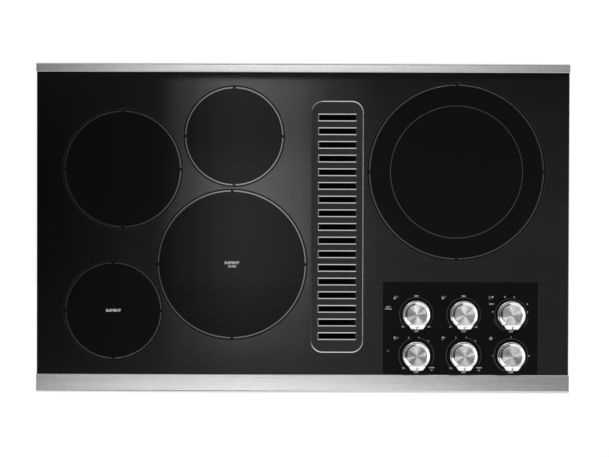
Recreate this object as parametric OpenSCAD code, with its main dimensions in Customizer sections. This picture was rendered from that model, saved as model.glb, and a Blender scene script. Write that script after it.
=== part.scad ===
// Electric downdraft cooktop, 36-inch class: a glass-ceramic top with five radiant burners, six knobs and a vent
// grille, over a steel burner box that carries the vent well, the plenum, the overflow jar and the blower.
// X runs to the right, Y to the rear and Z up. The origin is the middle of the footprint on the worktop.

/* [Cooktop] */
// Width over the trims
top_w = 918; // [910:1:960]
// Depth over the trims
top_d = 568; // [564:1:600]
// Thickness of the glass-ceramic
glass_t = 4; // [3:0.5:6]
// Polished bevel on the two bare edges of the glass
edge_bevel = 0.8; // [0.2:0.1:1.2]
// Thickness of the foam seal under the rim
seal_t = 2.2; // [1:0.1:4]
// Distance from the trims' ends and faces in to the rim and its seal
rim_inset = 7; // [6.5:0.5:9]
// Width of the foam seal at the left and right ends
seal_end_w = 16; // [12:0.5:20]
// Width of the foam seal along the front and the rear
seal_side_w = 23.5; // [18:0.5:26]

/* [Trims] */
// Visible depth of the front trim
front_trim_w = 31.6; // [29:0.1:36]
// Visible depth of the rear trim
rear_trim_w = 15.6; // [14:0.1:20]
// Thickness of the trims' metal
trim_t = 1; // [0.8:0.1:1.5]
// Radius of the front trim's rolled edge
front_nose_r = 4.6; // [3:0.1:5.5]
// Radius of the rear trim's rolled edge
rear_nose_r = 3.4; // [2:0.1:5]
// How far each trim laps over the glass
glass_lap = 6; // [3:0.5:8]
// How far the trims run past the glass at each end
trim_over = 0.8; // [0.2:0.1:2]
// Gap between the trims' lower edges and the worktop
trim_gap = 0.5; // [0.2:0.1:1]

/* [Burner box] */
// Depth of the box below the worktop
box_h = 95; // [90:1:120]
// Thickness of the steel sheet
sheet_t = 0.8; // [0.6:0.1:1.2]
// Width of each cooling slot in the box's floor
louvre_w = 6; // [4:0.5:8]
// Distance between the cooling slots
louvre_pitch = 30; // [26:1:34]
// Length of the cooling slots under the knobs
knob_louvre_l = 70; // [50:1:80]
// Length of the cooling slots under the left burners
bar_louvre_l = 90; // [60:1:95]

/* [Vent grille] */
// Centre of the vent, right of and behind the middle
vent_at = [59, 2.5]; // [-20:0.5:80]
// Width of the grille
grille_w = 90; // [86:1:92]
// Length of the grille, front to rear
grille_l = 433; // [425:1:440]
// Corner radius of the grille
grille_r = 20; // [16:1:24]
// Height of the grille above the glass
grille_t = 3.2; // [2.5:0.1:5]
// Polished bevel round the grille
grille_bevel = 1.5; // [0.5:0.1:2]
// Number of slots
slot_count = 17; // [9:2:17]
// Distance from slot to slot
slot_pitch = 23.5; // [20:0.1:24]
// Length of each slot
slot_l = 66.5; // [50:0.5:68]
// Width of each slot
slot_w = 10; // [6:0.5:12]
// Bevel along each slot
slot_bevel = 1.8; // [0.5:0.1:2]
// How far the grille's edge laps over the glass
grille_lap = 6; // [4:0.5:7]
// Depth of the skirt that locates the grille
skirt_h = 10; // [6:0.5:14]
// Thickness of the skirt
skirt_t = 2; // [1.5:0.1:2.5]

/* [Filter] */
// Width of the filter on its slope
filter_w = 74; // [66:1:76]
// Length of the filter
filter_l = 402; // [300:1:408]
// Thickness of the filter
filter_t = 9; // [6:0.5:12]
// Slope of the filter from one wall down to the other
filter_tilt = 26; // [20:1:32]
// Depth of the filter's middle below the worktop
filter_drop = 46; // [42:1:56]
// Thickness of the frame round the mesh
filter_edge = 1.2; // [0.8:0.1:2]
// Width of the frame's rim on the filter's faces
filter_rim = 9; // [5:0.5:14]
// Width of the ledges that carry the filter
ledge_w = 20; // [14:1:24]

/* [Plenum and jar] */
// Outer width of the plenum
plenum_w = 110; // [104:1:130]
// Outer length of the plenum
plenum_l = 440; // [434:1:460]
// Height of the plenum
plenum_h = 220; // [218:1:260]
// Width of the flange that fastens the plenum to the box
plenum_flange = 14; // [12:0.5:18]
// Jar's place in front of the vent's centre
jar_forward = 150; // [120:1:160]
// Outer radius of the jar
jar_r = 38; // [34:0.5:42]
// Height of the jar below its collar
jar_h = 92; // [70:1:120]
// Outer radius of the jar's neck
jar_neck_r = 29; // [24:0.5:31]
// Wall of the jar
jar_wall = 2.5; // [2:0.1:3.5]
// Height of the collar that the jar screws into
jar_collar_h = 13; // [10:0.5:18]

/* [Blower] */
// Outer width of the blower housing along its axis
blower_w = 110; // [100:1:118]
// Blower axis, in front of the middle
blower_forward = 30; // [20:1:40]
// Blower axis, below the box's floor
blower_drop = 137; // [137:1:148]
// Radius of the scroll where it starts
scroll_r = 90; // [86:1:92]
// Growth of the scroll with each quarter turn
scroll_step = 14; // [10:0.5:14]
// Depth of the outlet below the blower axis
outlet_drop = 150; // [145:1:190]
// Width of the outlet, front to rear
outlet_l = 118; // [100:1:120]
// Side of the square knock-out in the plenum's wall, which the blower's side covers
knockout = 136; // [134:1:140]
// Radius of the blower's inlet
inlet_r = 66; // [50:1:68]
// Outer radius of the impeller
impeller_r = 78; // [72:0.5:78]
// Depth of the impeller's blades
blade_d = 11; // [8:0.5:12]
// Number of blades
blade_count = 36; // [24:2:40]
// Radius of the motor
motor_r = 54; // [44:1:60]
// Length of the motor
motor_l = 72; // [60:1:90]
// Radius of the motor's shaft
shaft_r = 4; // [3:0.25:5]
// Side of the adapter under the outlet
adapter_w = 162; // [160:1:168]
// Height of the adapter
adapter_h = 38; // [30:1:60]
// Outer radius of the round duct collar, for a 6-inch duct
duct_r = 76; // [70:0.5:77]
// Length of the duct collar
duct_l = 42; // [30:1:60]

/* [Burners] */
// Rear left burner's centre, in from the left end and from the rear edge
rear_left_in = [149, 183]; // [140:1:190]
// Radius of the rear left burner's ring
rear_left_r = 100; // [80:1:103]
// Rear middle burner's centre, left of the vent's and in from the rear edge
rear_middle_in = [177.5, 126]; // [124:0.5:180]
// Radius of the rear middle burner's ring
rear_middle_r = 84; // [70:0.5:86]
// Front middle burner's centre, left of the vent's and in from the front edge
front_middle_in = [181, 221.5]; // [178:0.5:222]
// Radius of the front middle burner's ring
front_middle_r = 127; // [110:1:128]
// Front left burner's centre, in from the left end and from the front edge
front_left_in = [133, 141.5]; // [128:0.5:146]
// Radius of the front left burner's ring
front_left_r = 82.5; // [70:0.5:85]
// Right burner's centre, right of the vent's and in from the rear edge
right_in = [205, 186.5]; // [186:0.5:210]
// Radius of the right burner's outer ring
right_r = 150; // [130:1:151]
// Radius of the right burner's inner ring
right_inner_r = 114; // [95:1:114]
// Depth of a burner's dish below the glass
dish_h = 30; // [26:1:34]
// Thickness of the insulation under the ribbon
insulation_t = 12; // [8:0.5:14]
// Width of the insulation's rim
insulation_rim = 13; // [10:0.5:16]
// Thickness of the heating ribbon
ribbon_t = 0.6; // [0.4:0.1:1]
// Height of the heating ribbon
ribbon_h = 5; // [3:0.5:7]
// Distance between the ribbon's turns
ribbon_pitch = 9; // [8:0.5:14]
// Height of the leaf springs under the dishes
leaf_h = 8; // [6:0.5:10]
// Height of the crossbars
bar_h = 12; // [8:0.5:16]
// Width of the crossbars
bar_w = 40; // [30:1:50]

/* [Knobs] */
// Middle of the two rows of knobs, in from the right end and from the front edge
knobs_in = [181.5, 101.5]; // [96:0.25:184]
// Distance between the knobs' columns
knob_pitch_x = 81.5; // [76:0.5:84]
// Distance between the knobs' rows
knob_pitch_y = 70.5; // [64:0.5:72]
// Height of a knob
knob_h = 21; // [18:0.5:26]
// Gap between the glass and a knob that is out
knob_gap = 4; // [3.6:0.1:5]
// Radius of a knob's flange
knob_flange_r = 23.3; // [22.5:0.1:25]
// Thickness of a knob's flange
knob_flange_t = 3; // [2:0.1:4]
// Radius of a knob's flat top
knob_top_r = 16.6; // [15:0.1:17.5]
// Drop of the polished bezel from a knob's top to its side
knob_bezel = 4.5; // [3:0.5:8]
// Radius of a knob's body
knob_body_r = 22.4; // [21:0.1:22.5]
// Wall of a knob
knob_wall = 2; // [1.5:0.1:2.5]
// Width of the pointer
pointer_w = 24; // [18:0.5:26]
// Reach of the pointer from the knob's axis
pointer_reach = 25; // [24:0.1:26]
// Radius of a knob's spindle
spindle_r = 3; // [2.5:0.1:3.5]
// Flat on the spindle, in from its surface
spindle_flat = 1; // [0.5:0.1:1.2]
// Radius of the holes in the glass
knob_hole_r = 6; // [5:0.25:8]
// Travel of a knob when it is pushed
push_travel = 3; // [2:0.1:3]

/* [Controls] */
// Depth of the control bracket's top below the glass
bracket_drop = 15; // [14.5:0.5:18]
// Width of the control bracket's feet
bracket_foot = 12; // [8:1:16]
// Thickness of the control bracket
bracket_t = 1.2; // [1:0.1:2]
// Width of the control bracket
bracket_w = 250; // [240:1:254]
// Depth of the control bracket, front to rear
bracket_d = 118; // [112:1:120]
// Side of a switch's housing
switch_w = 38; // [34:1:40]
// Height of a switch's housing
switch_h = 30; // [28:0.5:34]
// Radius of a switch's cam
cam_r = 13; // [10:0.5:14]
// Height of a switch's cam
cam_h = 13; // [10:0.5:14]
// Radius of a switch's threaded neck
neck_r = 5; // [4.5:0.1:6]
// Height of a switch's threaded neck above its housing
neck_h = 9.2; // [7:0.1:10]
// Radius of an indicator lamp
lamp_r = 4; // [3:0.25:5]
// Lamps' distance in front of their columns of knobs, to the left of the first
lamp_left = 48.5; // [44:0.5:56]

/* [Connection] */
// Conduit connector, in from the box's right and rear walls
conduit_in = [39, 47.5]; // [30:0.5:60]
// Radius of the conduit connector's bore
conduit_r = 8; // [6:0.5:9]
// Terminal block, in from the box's right and rear walls
terminals_in = [105, 47.5]; // [40:0.5:120]
// Radius of a bundle of wires
wire_r = 3; // [2:0.5:4]

/* [Clamps] */
// Reach of a clamp bracket from the box's side
clamp_reach = 22; // [20:0.5:22.5]
// Width of a clamp bracket
clamp_w = 40; // [30:1:60]
// Height of a clamp bracket
clamp_h = 55; // [45:1:60]
// Distance from a clamp bracket's edge in to its screw
clamp_screw_in = 10; // [8:0.5:11]
// Thickness of a clamp bracket
clamp_t = 2; // [1.5:0.1:3]
// Radius of a clamp screw
clamp_screw_r = 3; // [2.5:0.25:4]
// Depth of a slack clamp screw's pad below the worktop
clamp_drop = 40; // [38:1:44]
// Travel of a clamp screw
clamp_travel = 25; // [10:1:25]

/* [Fasteners] */
// Radius of a fastening screw
screw_r = 2; // [1.5:0.25:2.5]
// Radius of a fastening screw's head
screw_head_r = 4; // [3.5:0.25:5]
// Height of a fastening screw's head
screw_head_h = 2.4; // [2:0.1:3]

/* [Fits] */
// Clearance round what slides or turns
run_gap = 0.3; // [0.25:0.05:0.5]
// Clearance of a shaft in its bearing
bearing_gap = 0.05; // [0.03:0.01:0.09]
// Clearance of pieces that are pushed together
seat_gap = 0.1; // [0.05:0.05:0.2]
// Clearance round what lifts out
lift_gap = 1; // [0.6:0.1:1.5]

/* [Hidden] */
$fn = 64;

// Levels
rim_z = seal_t;
glass_z = rim_z + sheet_t;
deck_z = glass_z + glass_t;
trim_z = deck_z + trim_t;
floor_z = -box_h;
floor_top = floor_z + sheet_t;
dish_z = glass_z - dish_h;
bar_z = dish_z - leaf_h;
bracket_z = glass_z - bracket_drop;
switch_z = bracket_z - bracket_t;
cam_z = switch_z - 7 - cam_h;
knob_z = deck_z + knob_gap;
plenum_z = floor_z - plenum_h;

// Outlines
glass_w = top_w - 2 * trim_over;
glass_front = front_trim_w - top_d / 2 - glass_lap;
glass_back = top_d / 2 - rear_trim_w + glass_lap;
rim_w = top_w - 2 * rim_inset;
rim_d = top_d - 2 * rim_inset;
box_w = rim_w - 2 * (seal_end_w + lift_gap);
box_d = rim_d - 2 * (seal_side_w + lift_gap);
vent_w = grille_w - 2 * grille_lap;
vent_l = grille_l - 2 * grille_lap;
vent_r = grille_r - grille_lap;
well_w = vent_w + 2 * lift_gap;
well_l = vent_l + 2 * lift_gap;
well_flange = 10;
past = 1;

// Blower
blower_x = vent_at[0] - plenum_w / 2;
blower_z = floor_z - blower_drop;
impeller_gap = 9;
impeller_w = blower_w - 2 * impeller_gap;
outlet_z = blower_z - outlet_drop;
outlet_y = scroll_step / 2 + scroll_r + 3 * scroll_step - outlet_l / 2 - blower_forward;
cover_flange = 9;
duct_z = outlet_z - adapter_h;

// Places on the top and in the box
rear_left_at = [rear_left_in[0] - top_w / 2, top_d / 2 - rear_left_in[1]];
rear_middle_at = [vent_at[0] - rear_middle_in[0], top_d / 2 - rear_middle_in[1]];
front_middle_at = [vent_at[0] - front_middle_in[0], front_middle_in[1] - top_d / 2];
front_left_at = [front_left_in[0] - top_w / 2, front_left_in[1] - top_d / 2];
right_at = [vent_at[0] + right_in[0], top_d / 2 - right_in[1]];
knobs_at = [top_w / 2 - knobs_in[0], knobs_in[1] - top_d / 2];
conduit_at = [box_w / 2 - conduit_in[0], box_d / 2 - conduit_in[1]];
terminals_at = [box_w / 2 - terminals_in[0], box_d / 2 - terminals_in[1]];

// Burners: centre and radius of each ring
burners = [
  [rear_left_at, rear_left_r], [rear_middle_at, rear_middle_r], [front_middle_at, front_middle_r],
  [front_left_at, front_left_r], [right_at, right_r]];
ring_over = 2;
left_bar_x = (rear_left_at[0] + front_left_at[0]) / 2;
middle_bar_x = (rear_middle_at[0] + front_middle_at[0]) / 2;
limiter_r = 2.5;
limiter_z = glass_z - 6;
head_l = 16;
head_w = 22;
head_h = 12;

// The way that each burner's limiter head points, away from its neighbours, and the underside of the head there
head_turns = [180, 0, 180, 180, -90];
head_z = limiter_z - 7;
function head_at(i) =
  let (reach = burners[i][1] - ring_over + run_gap + head_l / 2)
  [burners[i][0][0] + reach * cos(head_turns[i]), burners[i][0][1] + reach * sin(head_turns[i]), head_z - run_gap];

// Wires: along the box's floor, under the switches, and down to the motor
wire_z = floor_top + wire_r + seat_gap;
blade_h = 8;
blade_step_x = 12;
blade_step_y = 8;
switch_wire_z = switch_z - switch_h - blade_h - wire_r - run_gap;
lane_x = vent_at[0] + well_w / 2 + 28;
left_lane_x = head_at(2)[0];
rear_lane_y = (vent_at[1] + well_l / 2 + box_d / 2) / 2;
behind_y = knobs_at[1] + bracket_d / 2 + 12;
motor_lead_at = [blower_x - blower_w - motor_l / 2, -blower_forward];

// Knobs, from the rear left one along each row: columns -1, 0, 1 and rows 1 (rear) and -1 (front)
knob_spots = [for (row = [1, -1], column = [-1, 0, 1])
  [knobs_at[0] + column * knob_pitch_x, knobs_at[1] + row * knob_pitch_y / 2]];

// Places of the screws that hold the plenum's flange, and of those on the blower cover's flange as y and z
plenum_screws = [for (x = [-1, 1], y = [-0.8, -0.27, 0.27, 0.8])
  [vent_at[0] + x * (plenum_w + plenum_flange) / 2, vent_at[1] + y * plenum_l / 2]];
cover_screw_out = cover_flange / 2 + sheet_t;

// A plate centred on the origin in x and y, with its underside at z = 0
module plate(w, d, t) {
  translate([-w / 2, -d / 2, 0]) cube([w, d, t]);
}

// A rectangle with round corners
module rounded(w, d, r) {
  square([w - 2 * r, d], center = true);
  square([w, d - 2 * r], center = true);
  for (x = [-1, 1], y = [-1, 1]) translate([x * (w / 2 - r), y * (d / 2 - r)]) circle(r);
}

// An outline drawn in y and z, extruded along x
module along_x(l) {
  rotate([90, 0, 90]) linear_extrude(l) children();
}

// A rounded plate with a bevel round its top
module bevelled_slab(w, d, t, r, bevel) {
  for (x = [-1, 1], y = [-1, 1]) translate([x * (w / 2 - r), y * (d / 2 - r), 0]) {
    cylinder(r = r, h = t - bevel);
    translate([0, 0, t - bevel]) cylinder(r1 = r, r2 = r - bevel, h = bevel);
  }
  translate([r - w / 2, 0, 0]) along_x(w - 2 * r) bevelled_end(d, t, bevel);
  rotate(90) translate([r - d / 2, 0, 0]) along_x(d - 2 * r) bevelled_end(w, t, bevel);
}

module bevelled_end(w, t, bevel) {
  polygon([[-w / 2, 0], [w / 2, 0], [w / 2, t - bevel], [w / 2 - bevel, t], [bevel - w / 2, t], [-w / 2, t - bevel]]);
}

// A bundle of wires through a list of points, with a square clip at each bend
module bundle(points) {
  for (i = [0:len(points) - 2]) {
    step = points[i + 1] - points[i];
    turn = atan2(norm([step[0], step[1]]), step[2]);
    translate(points[i]) rotate([0, turn, atan2(step[1], step[0])]) cylinder(r = wire_r, h = norm(step), $fn = 16);
    if (i > 0) translate(points[i]) cube(2 * (wire_r + seat_gap), center = true);
  }
}

// The glass: bare bevelled edges left and right, an opening for the vent and a hole for each spindle
module glass_top() {
  e = edge_bevel;
  color("#0d0e10") difference() {
    translate([0, glass_back, glass_z]) rotate([90, 0, 0]) linear_extrude(glass_back - glass_front)
      polygon([
        [e - glass_w / 2, 0], [glass_w / 2 - e, 0], [glass_w / 2, e], [glass_w / 2, glass_t - e],
        [glass_w / 2 - e, glass_t], [e - glass_w / 2, glass_t], [-glass_w / 2, glass_t - e], [-glass_w / 2, e]]);
    translate([vent_at[0], vent_at[1], glass_z - past]) linear_extrude(glass_t + 2 * past)
      rounded(vent_w, vent_l, vent_r);
    for (p = knob_spots) translate([p[0], p[1], glass_z - past]) cylinder(r = knob_hole_r, h = glass_t + 2 * past);
  }
}

// A trim's section: u runs out from the glass, the other axis is z. The lip laps the glass, the leg stands on the rim
module trim_section(w, nose) {
  lead = 0.8;
  leg = glass_lap + seat_gap;
  polygon([[0, deck_z], [lead, deck_z], [lead, trim_z], [0, deck_z + trim_t / 2]]);
  translate([lead, deck_z]) square([w - nose - lead, trim_t]);
  translate([w - nose, trim_z - nose]) intersection() {
    difference() {
      circle(nose);
      circle(nose - trim_t);
    }
    square(nose);
  }
  translate([w - trim_t, trim_gap]) square([trim_t, trim_z - nose - trim_gap]);
  translate([leg, glass_z]) square([trim_t, deck_z - glass_z]);
}

// The closed outline of a trim's end, from its leg out to its rolled edge
module trim_end(w, nose) {
  leg = glass_lap + seat_gap;
  rim_edge = w - rim_inset + seat_gap;
  translate([leg, glass_z]) square([rim_edge - leg, deck_z - glass_z]);
  translate([rim_edge, trim_gap]) square([w - rim_edge, trim_z - nose - trim_gap]);
  translate([leg, deck_z]) square([w - nose - leg, trim_t]);
  translate([rim_edge, trim_z - nose]) square([w - nose - rim_edge, nose]);
  translate([w - nose, trim_z - nose]) intersection() {
    circle(nose);
    square(nose);
  }
}

module trim(w, nose) {
  translate([-top_w / 2, top_d / 2 - w, 0]) {
    along_x(top_w) trim_section(w, nose);
    for (x = [0, top_w - trim_t]) translate([x, 0, 0]) along_x(trim_t) trim_end(w, nose);
  }
}

module front_trim() {
  color("#c9cbcd") mirror([0, 1, 0]) trim(front_trim_w, front_nose_r);
}

module rear_trim() {
  color("#c9cbcd") trim(rear_trim_w, rear_nose_r);
}

// The foam ring between the rim and the worktop
module worktop_seal() {
  color("#2b2b2b") difference() {
    plate(rim_w, rim_d, seal_t);
    translate([0, 0, -past]) plate(rim_w - 2 * seal_end_w, rim_d - 2 * seal_side_w, seal_t + 2 * past);
  }
}

// The box: a sheet pan with a hole for the well, cooling slots, and holes for the conduit and the motor's lead
module burner_box() {
  color("#a9adb0") difference() {
    union() {
      translate([0, 0, floor_z]) plate(box_w, box_d, rim_z - floor_z);
      translate([0, 0, rim_z]) plate(rim_w, rim_d, sheet_t);
    }
    translate([0, 0, floor_top]) plate(box_w - 2 * sheet_t, box_d - 2 * sheet_t, box_h + deck_z);
    translate([vent_at[0], vent_at[1], floor_z - past])
      plate(well_w + 2 * (sheet_t + run_gap), well_l + 2 * (sheet_t + run_gap), sheet_t + 2 * past);
    translate([conduit_at[0], conduit_at[1], floor_z - past])
      cylinder(r = conduit_r + 3 + seat_gap, h = sheet_t + 2 * past);
    for (p = plenum_screws) translate([p[0], p[1], floor_z - past])
      cylinder(r = screw_r + seat_gap, h = sheet_t + 2 * past);
    for (i = [-3:3]) translate([knobs_at[0] + louvre_pitch * i, knobs_at[1], floor_z - past])
      plate(louvre_w, knob_louvre_l, sheet_t + 2 * past);
    for (i = [-3:3]) translate([left_bar_x + louvre_pitch * i, 0, floor_z - past])
      plate(louvre_w, bar_louvre_l, sheet_t + 2 * past);
    translate([motor_lead_at[0], motor_lead_at[1], floor_z - past])
      cylinder(r = wire_r + run_gap, h = sheet_t + 2 * past);
  }
}

// The grille: a bevelled plate with bevelled slots, and a skirt that drops into the opening
module vent_grille() {
  color("#1c1d1f") translate([vent_at[0], vent_at[1], deck_z]) {
    difference() {
      bevelled_slab(grille_w, grille_l, grille_t, grille_r, grille_bevel);
      for (i = [0:slot_count - 1]) translate([-slot_l / 2, (i - (slot_count - 1) / 2) * slot_pitch, 0])
        along_x(slot_l) polygon([
          [-slot_w / 2, -past], [slot_w / 2, -past], [slot_w / 2, grille_t - slot_bevel],
          [slot_w / 2 + slot_bevel + past, grille_t + past], [-slot_w / 2 - slot_bevel - past, grille_t + past],
          [-slot_w / 2, grille_t - slot_bevel]]);
    }
    translate([0, 0, -skirt_h]) linear_extrude(skirt_h) difference() {
      rounded(vent_w - 2 * lift_gap, vent_l - 2 * lift_gap, vent_r - lift_gap);
      rounded(vent_w - 2 * (lift_gap + skirt_t), vent_l - 2 * (lift_gap + skirt_t), vent_r - lift_gap - skirt_t);
    }
  }
}

// What lies on the filter's slope, with z = 0 at the filter's middle
module on_slope() {
  translate([vent_at[0], vent_at[1], -filter_drop]) rotate([0, -filter_tilt, 0]) children();
}

module filter_frame() {
  color("#b9bcbf") on_slope() difference() {
    translate([0, 0, -filter_t / 2]) plate(filter_w, filter_l, filter_t);
    translate([0, 0, filter_edge - filter_t / 2])
      plate(filter_w - 2 * filter_edge, filter_l - 2 * filter_edge, filter_t - 2 * filter_edge);
    translate([0, 0, -filter_t / 2 - past])
      plate(filter_w - 2 * filter_rim, filter_l - 2 * filter_rim, filter_t + 2 * past);
  }
}

module filter_mesh() {
  color("#8f9396") on_slope() translate([0, 0, filter_edge - filter_t / 2])
    plate(filter_w - 2 * filter_edge, filter_l - 2 * filter_edge, filter_t - 2 * filter_edge);
}

// The well: a sheet duct from the glass down through the box, with two ledges that carry the filter
module vent_well() {
  color("#9fa3a6") {
    difference() {
      translate([vent_at[0], vent_at[1], floor_z]) {
        plate(well_w + 2 * sheet_t, well_l + 2 * sheet_t, glass_z - floor_z);
        translate([0, 0, rim_z - floor_z])
          plate(well_w + 2 * well_flange, well_l + 2 * well_flange, sheet_t);
      }
      translate([vent_at[0], vent_at[1], floor_z - past]) plate(well_w, well_l, glass_z - floor_z + 2 * past);
    }
    intersection() {
      on_slope() for (x = [-1, 1]) translate([x * (filter_w / 2 + 1), 0, -filter_t / 2 - run_gap - sheet_t])
        plate(ledge_w, filter_l - 2 * ledge_w, sheet_t);
      translate([vent_at[0], vent_at[1], floor_z]) plate(well_w + sheet_t, well_l, glass_z - floor_z);
    }
  }
}

// The plenum: a deep sheet box under the well, open to the blower on its left and to the jar below
module plenum_box() {
  color("#a4a8ab") translate([vent_at[0], vent_at[1], 0]) {
    difference() {
      union() {
        translate([0, 0, plenum_z]) plate(plenum_w, plenum_l, plenum_h);
        translate([0, 0, floor_z - sheet_t])
          plate(plenum_w + 2 * plenum_flange, plenum_l + 2 * plenum_flange, sheet_t);
      }
      translate([0, 0, plenum_z + sheet_t])
        plate(plenum_w - 2 * sheet_t, plenum_l - 2 * sheet_t, plenum_h - 2 * sheet_t);
      translate([0, 0, floor_z - sheet_t - past]) plate(well_w, well_l, sheet_t + 2 * past);
      translate([0, -jar_forward, plenum_z - past]) cylinder(r = jar_neck_r + run_gap, h = sheet_t + 2 * past);
      translate([-plenum_w / 2, -blower_forward - vent_at[1], blower_z - knockout / 2])
        plate(3 * sheet_t, knockout, knockout);
      for (p = plenum_screws) translate([p[0] - vent_at[0], p[1] - vent_at[1], floor_z - sheet_t - past])
        cylinder(r = screw_r + seat_gap, h = sheet_t + 2 * past);
    }
    translate([0, -jar_forward, plenum_z - jar_collar_h]) difference() {
      cylinder(r = jar_neck_r + run_gap + 2, h = jar_collar_h);
      translate([0, 0, -past]) cylinder(r = jar_neck_r + run_gap, h = jar_collar_h + 2 * past);
    }
  }
}

// The jar: a glass cup whose neck sits in the plenum's collar
module overflow_jar() {
  neck_in = jar_neck_r - jar_wall;
  color("#cfe3e6") translate([vent_at[0], vent_at[1] - jar_forward, plenum_z]) rotate_extrude() polygon([
    [jar_neck_r, -run_gap], [jar_neck_r, -jar_collar_h - run_gap], [jar_neck_r + 2, -jar_collar_h - run_gap],
    [jar_r, -jar_collar_h - 8], [jar_r, 4 - jar_collar_h - jar_h], [jar_r - 4, -jar_collar_h - jar_h],
    [0, -jar_collar_h - jar_h], [0, 4 - jar_collar_h - jar_h], [jar_r - 4 - jar_wall / 2, 4 - jar_collar_h - jar_h],
    [jar_r - jar_wall, 7 - jar_collar_h - jar_h], [jar_r - jar_wall, -jar_collar_h - 10],
    [neck_in, -jar_collar_h - 2], [neck_in, -run_gap]]);
}

// The scroll's outline in y and z about the blower axis, grown outwards. Four quarter circles widen by one step each
module scroll(grow, drop) {
  half = scroll_step / 2;
  for (q = [[-half, -half, 0, -90], [-half, half, 1, 180], [half, half, 2, 90], [half, -half, 3, 0]])
    translate([q[0], q[1]]) intersection() {
      circle(scroll_r + q[2] * scroll_step + grow);
      rotate(q[3]) translate([-half * 2, -half * 2]) square(3 * scroll_r);
    }
  translate([half + scroll_r + 3 * scroll_step - outlet_l - grow, -drop]) square([outlet_l + 2 * grow, drop - half]);
}

// What the blower draws along its axis, from its plenum side towards the left
module blower_side(from) {
  translate([blower_x - from, -blower_forward, blower_z]) children();
}

// The housing: the scroll's wall, the side with the inlet, and a flange for the cover
module blower_housing() {
  color("#8d9194") {
    blower_side(blower_w) along_x(blower_w - sheet_t) difference() {
      scroll(sheet_t, outlet_drop);
      scroll(0, outlet_drop + past);
    }
    blower_side(blower_w) along_x(sheet_t) difference() {
      scroll(cover_flange, outlet_drop);
      scroll(0, outlet_drop + past);
      for (p = cover_screws) translate(p) circle(screw_r + seat_gap);
    }
  }
}

// The blower's inlet side: a flat plate with the round inlet, spot-welded on the scroll
module blower_inlet_side() {
  color("#93979a") blower_side(sheet_t) along_x(sheet_t) difference() {
    scroll(sheet_t, outlet_drop);
    circle(inlet_r);
  }
}

// The cover: the blower's outer side, which carries the motor
module blower_cover() {
  color("#9a9ea1") blower_side(blower_w + sheet_t) along_x(sheet_t) difference() {
    scroll(cover_flange, outlet_drop);
    circle(3 * shaft_r);
    for (p = cover_screws) translate(p) circle(screw_r + seat_gap);
  }
}

// Screws round the scroll's flange, on the circles that it is made of
cover_screws = [
  for (q = [[-1, -1, 0, -45], [-1, 1, 1, -110], [-1, 1, 1, -165], [1, 1, 2, 150], [1, 1, 2, 105], [1, -1, 3, 60], [1, -1, 3, 15]])
    [q[0] * scroll_step / 2 + (scroll_r + q[2] * scroll_step + cover_screw_out) * cos(q[3]),
     q[1] * scroll_step / 2 + (scroll_r + q[2] * scroll_step + cover_screw_out) * sin(q[3])]];

// The impeller: a back plate with a hub, a front ring and a cage of blades
module impeller() {
  hub_r = 3 * shaft_r;
  color("#3a3c3e") blower_side(blower_w - impeller_gap) {
    along_x(2) difference() {
      circle(impeller_r);
      circle(shaft_r + bearing_gap);
    }
    along_x(30) difference() {
      circle(hub_r);
      circle(shaft_r + bearing_gap);
    }
    translate([impeller_w - 2, 0, 0]) along_x(2) difference() {
      circle(impeller_r);
      circle(impeller_r - blade_d);
    }
    for (i = [0:blade_count - 1]) rotate([i * 360 / blade_count, 0, 0])
      translate([1, impeller_r - blade_d + 0.5, 0]) cube([impeller_w - 2, blade_d - 1.5, 1]);
  }
}

// The motor: a drum on the cover, with a bearing bore for the shaft and a raised rear cap
module blower_motor() {
  color("#5b5e61") blower_side(blower_w + sheet_t + motor_l) difference() {
    union() {
      along_x(motor_l) circle(motor_r - 4);
      translate([motor_l - 4, 0, 0]) along_x(4) circle(motor_r);
      translate([10, 0, 0]) along_x(motor_l - 26) circle(motor_r);
      translate([-7, 0, 0]) along_x(7) circle(motor_r / 3);
    }
    translate([motor_l / 2, 0, 0]) along_x(motor_l) circle(shaft_r + bearing_gap);
    for (i = [0:11]) rotate([i * 30, 0, 0]) translate([-past, motor_r * 0.62, -3]) cube([5, motor_r * 0.22, 6]);
  }
}

module motor_shaft() {
  tail = motor_l / 2 - past;
  color("#c4c6c8") blower_side(blower_w + sheet_t + tail) along_x(tail + sheet_t + impeller_gap + 32) circle(shaft_r);
}

// The adapter under the blower's outlet, with the round collar for the duct
module duct_collar() {
  color("#b0b4b7") translate([blower_x - blower_w / 2, outlet_y, duct_z]) {
    difference() {
      plate(adapter_w, adapter_w, adapter_h);
      translate([0, 0, sheet_t]) plate(adapter_w - 2 * sheet_t, adapter_w - 2 * sheet_t, adapter_h - 2 * sheet_t);
      translate([0, 0, adapter_h - sheet_t - past])
        plate(blower_w - 2 * sheet_t, outlet_l, sheet_t + 2 * past);
      translate([0, 0, -past]) cylinder(r = duct_r - sheet_t, h = sheet_t + 2 * past, $fn = 128);
    }
    translate([0, 0, -duct_l]) difference() {
      cylinder(r = duct_r, h = duct_l, $fn = 128);
      translate([0, 0, -past]) cylinder(r = duct_r - sheet_t, h = duct_l + 2 * past, $fn = 128);
    }
  }
}

// The crossbars: channels under the dishes, two from front to rear and one from the well to the right wall
module channel(l) {
  translate([-l / 2, 0, 0]) along_x(l) difference() {
    translate([-bar_w / 2, 0]) square([bar_w, bar_h]);
    translate([sheet_t - bar_w / 2, -past]) square([bar_w - 2 * sheet_t, bar_h - sheet_t + past]);
  }
}

module element_crossbars() {
  inner_d = box_d - 2 * sheet_t;
  right_from = vent_at[0] + well_w / 2 + sheet_t;
  right_to = box_w / 2 - sheet_t;
  color("#9da1a4") {
    for (x = [left_bar_x, middle_bar_x]) translate([x, 0, bar_z - bar_h]) rotate(90) channel(inner_d);
    translate([(right_from + right_to) / 2, right_at[1], bar_z - bar_h]) channel(right_to - right_from);
  }
}

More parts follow.
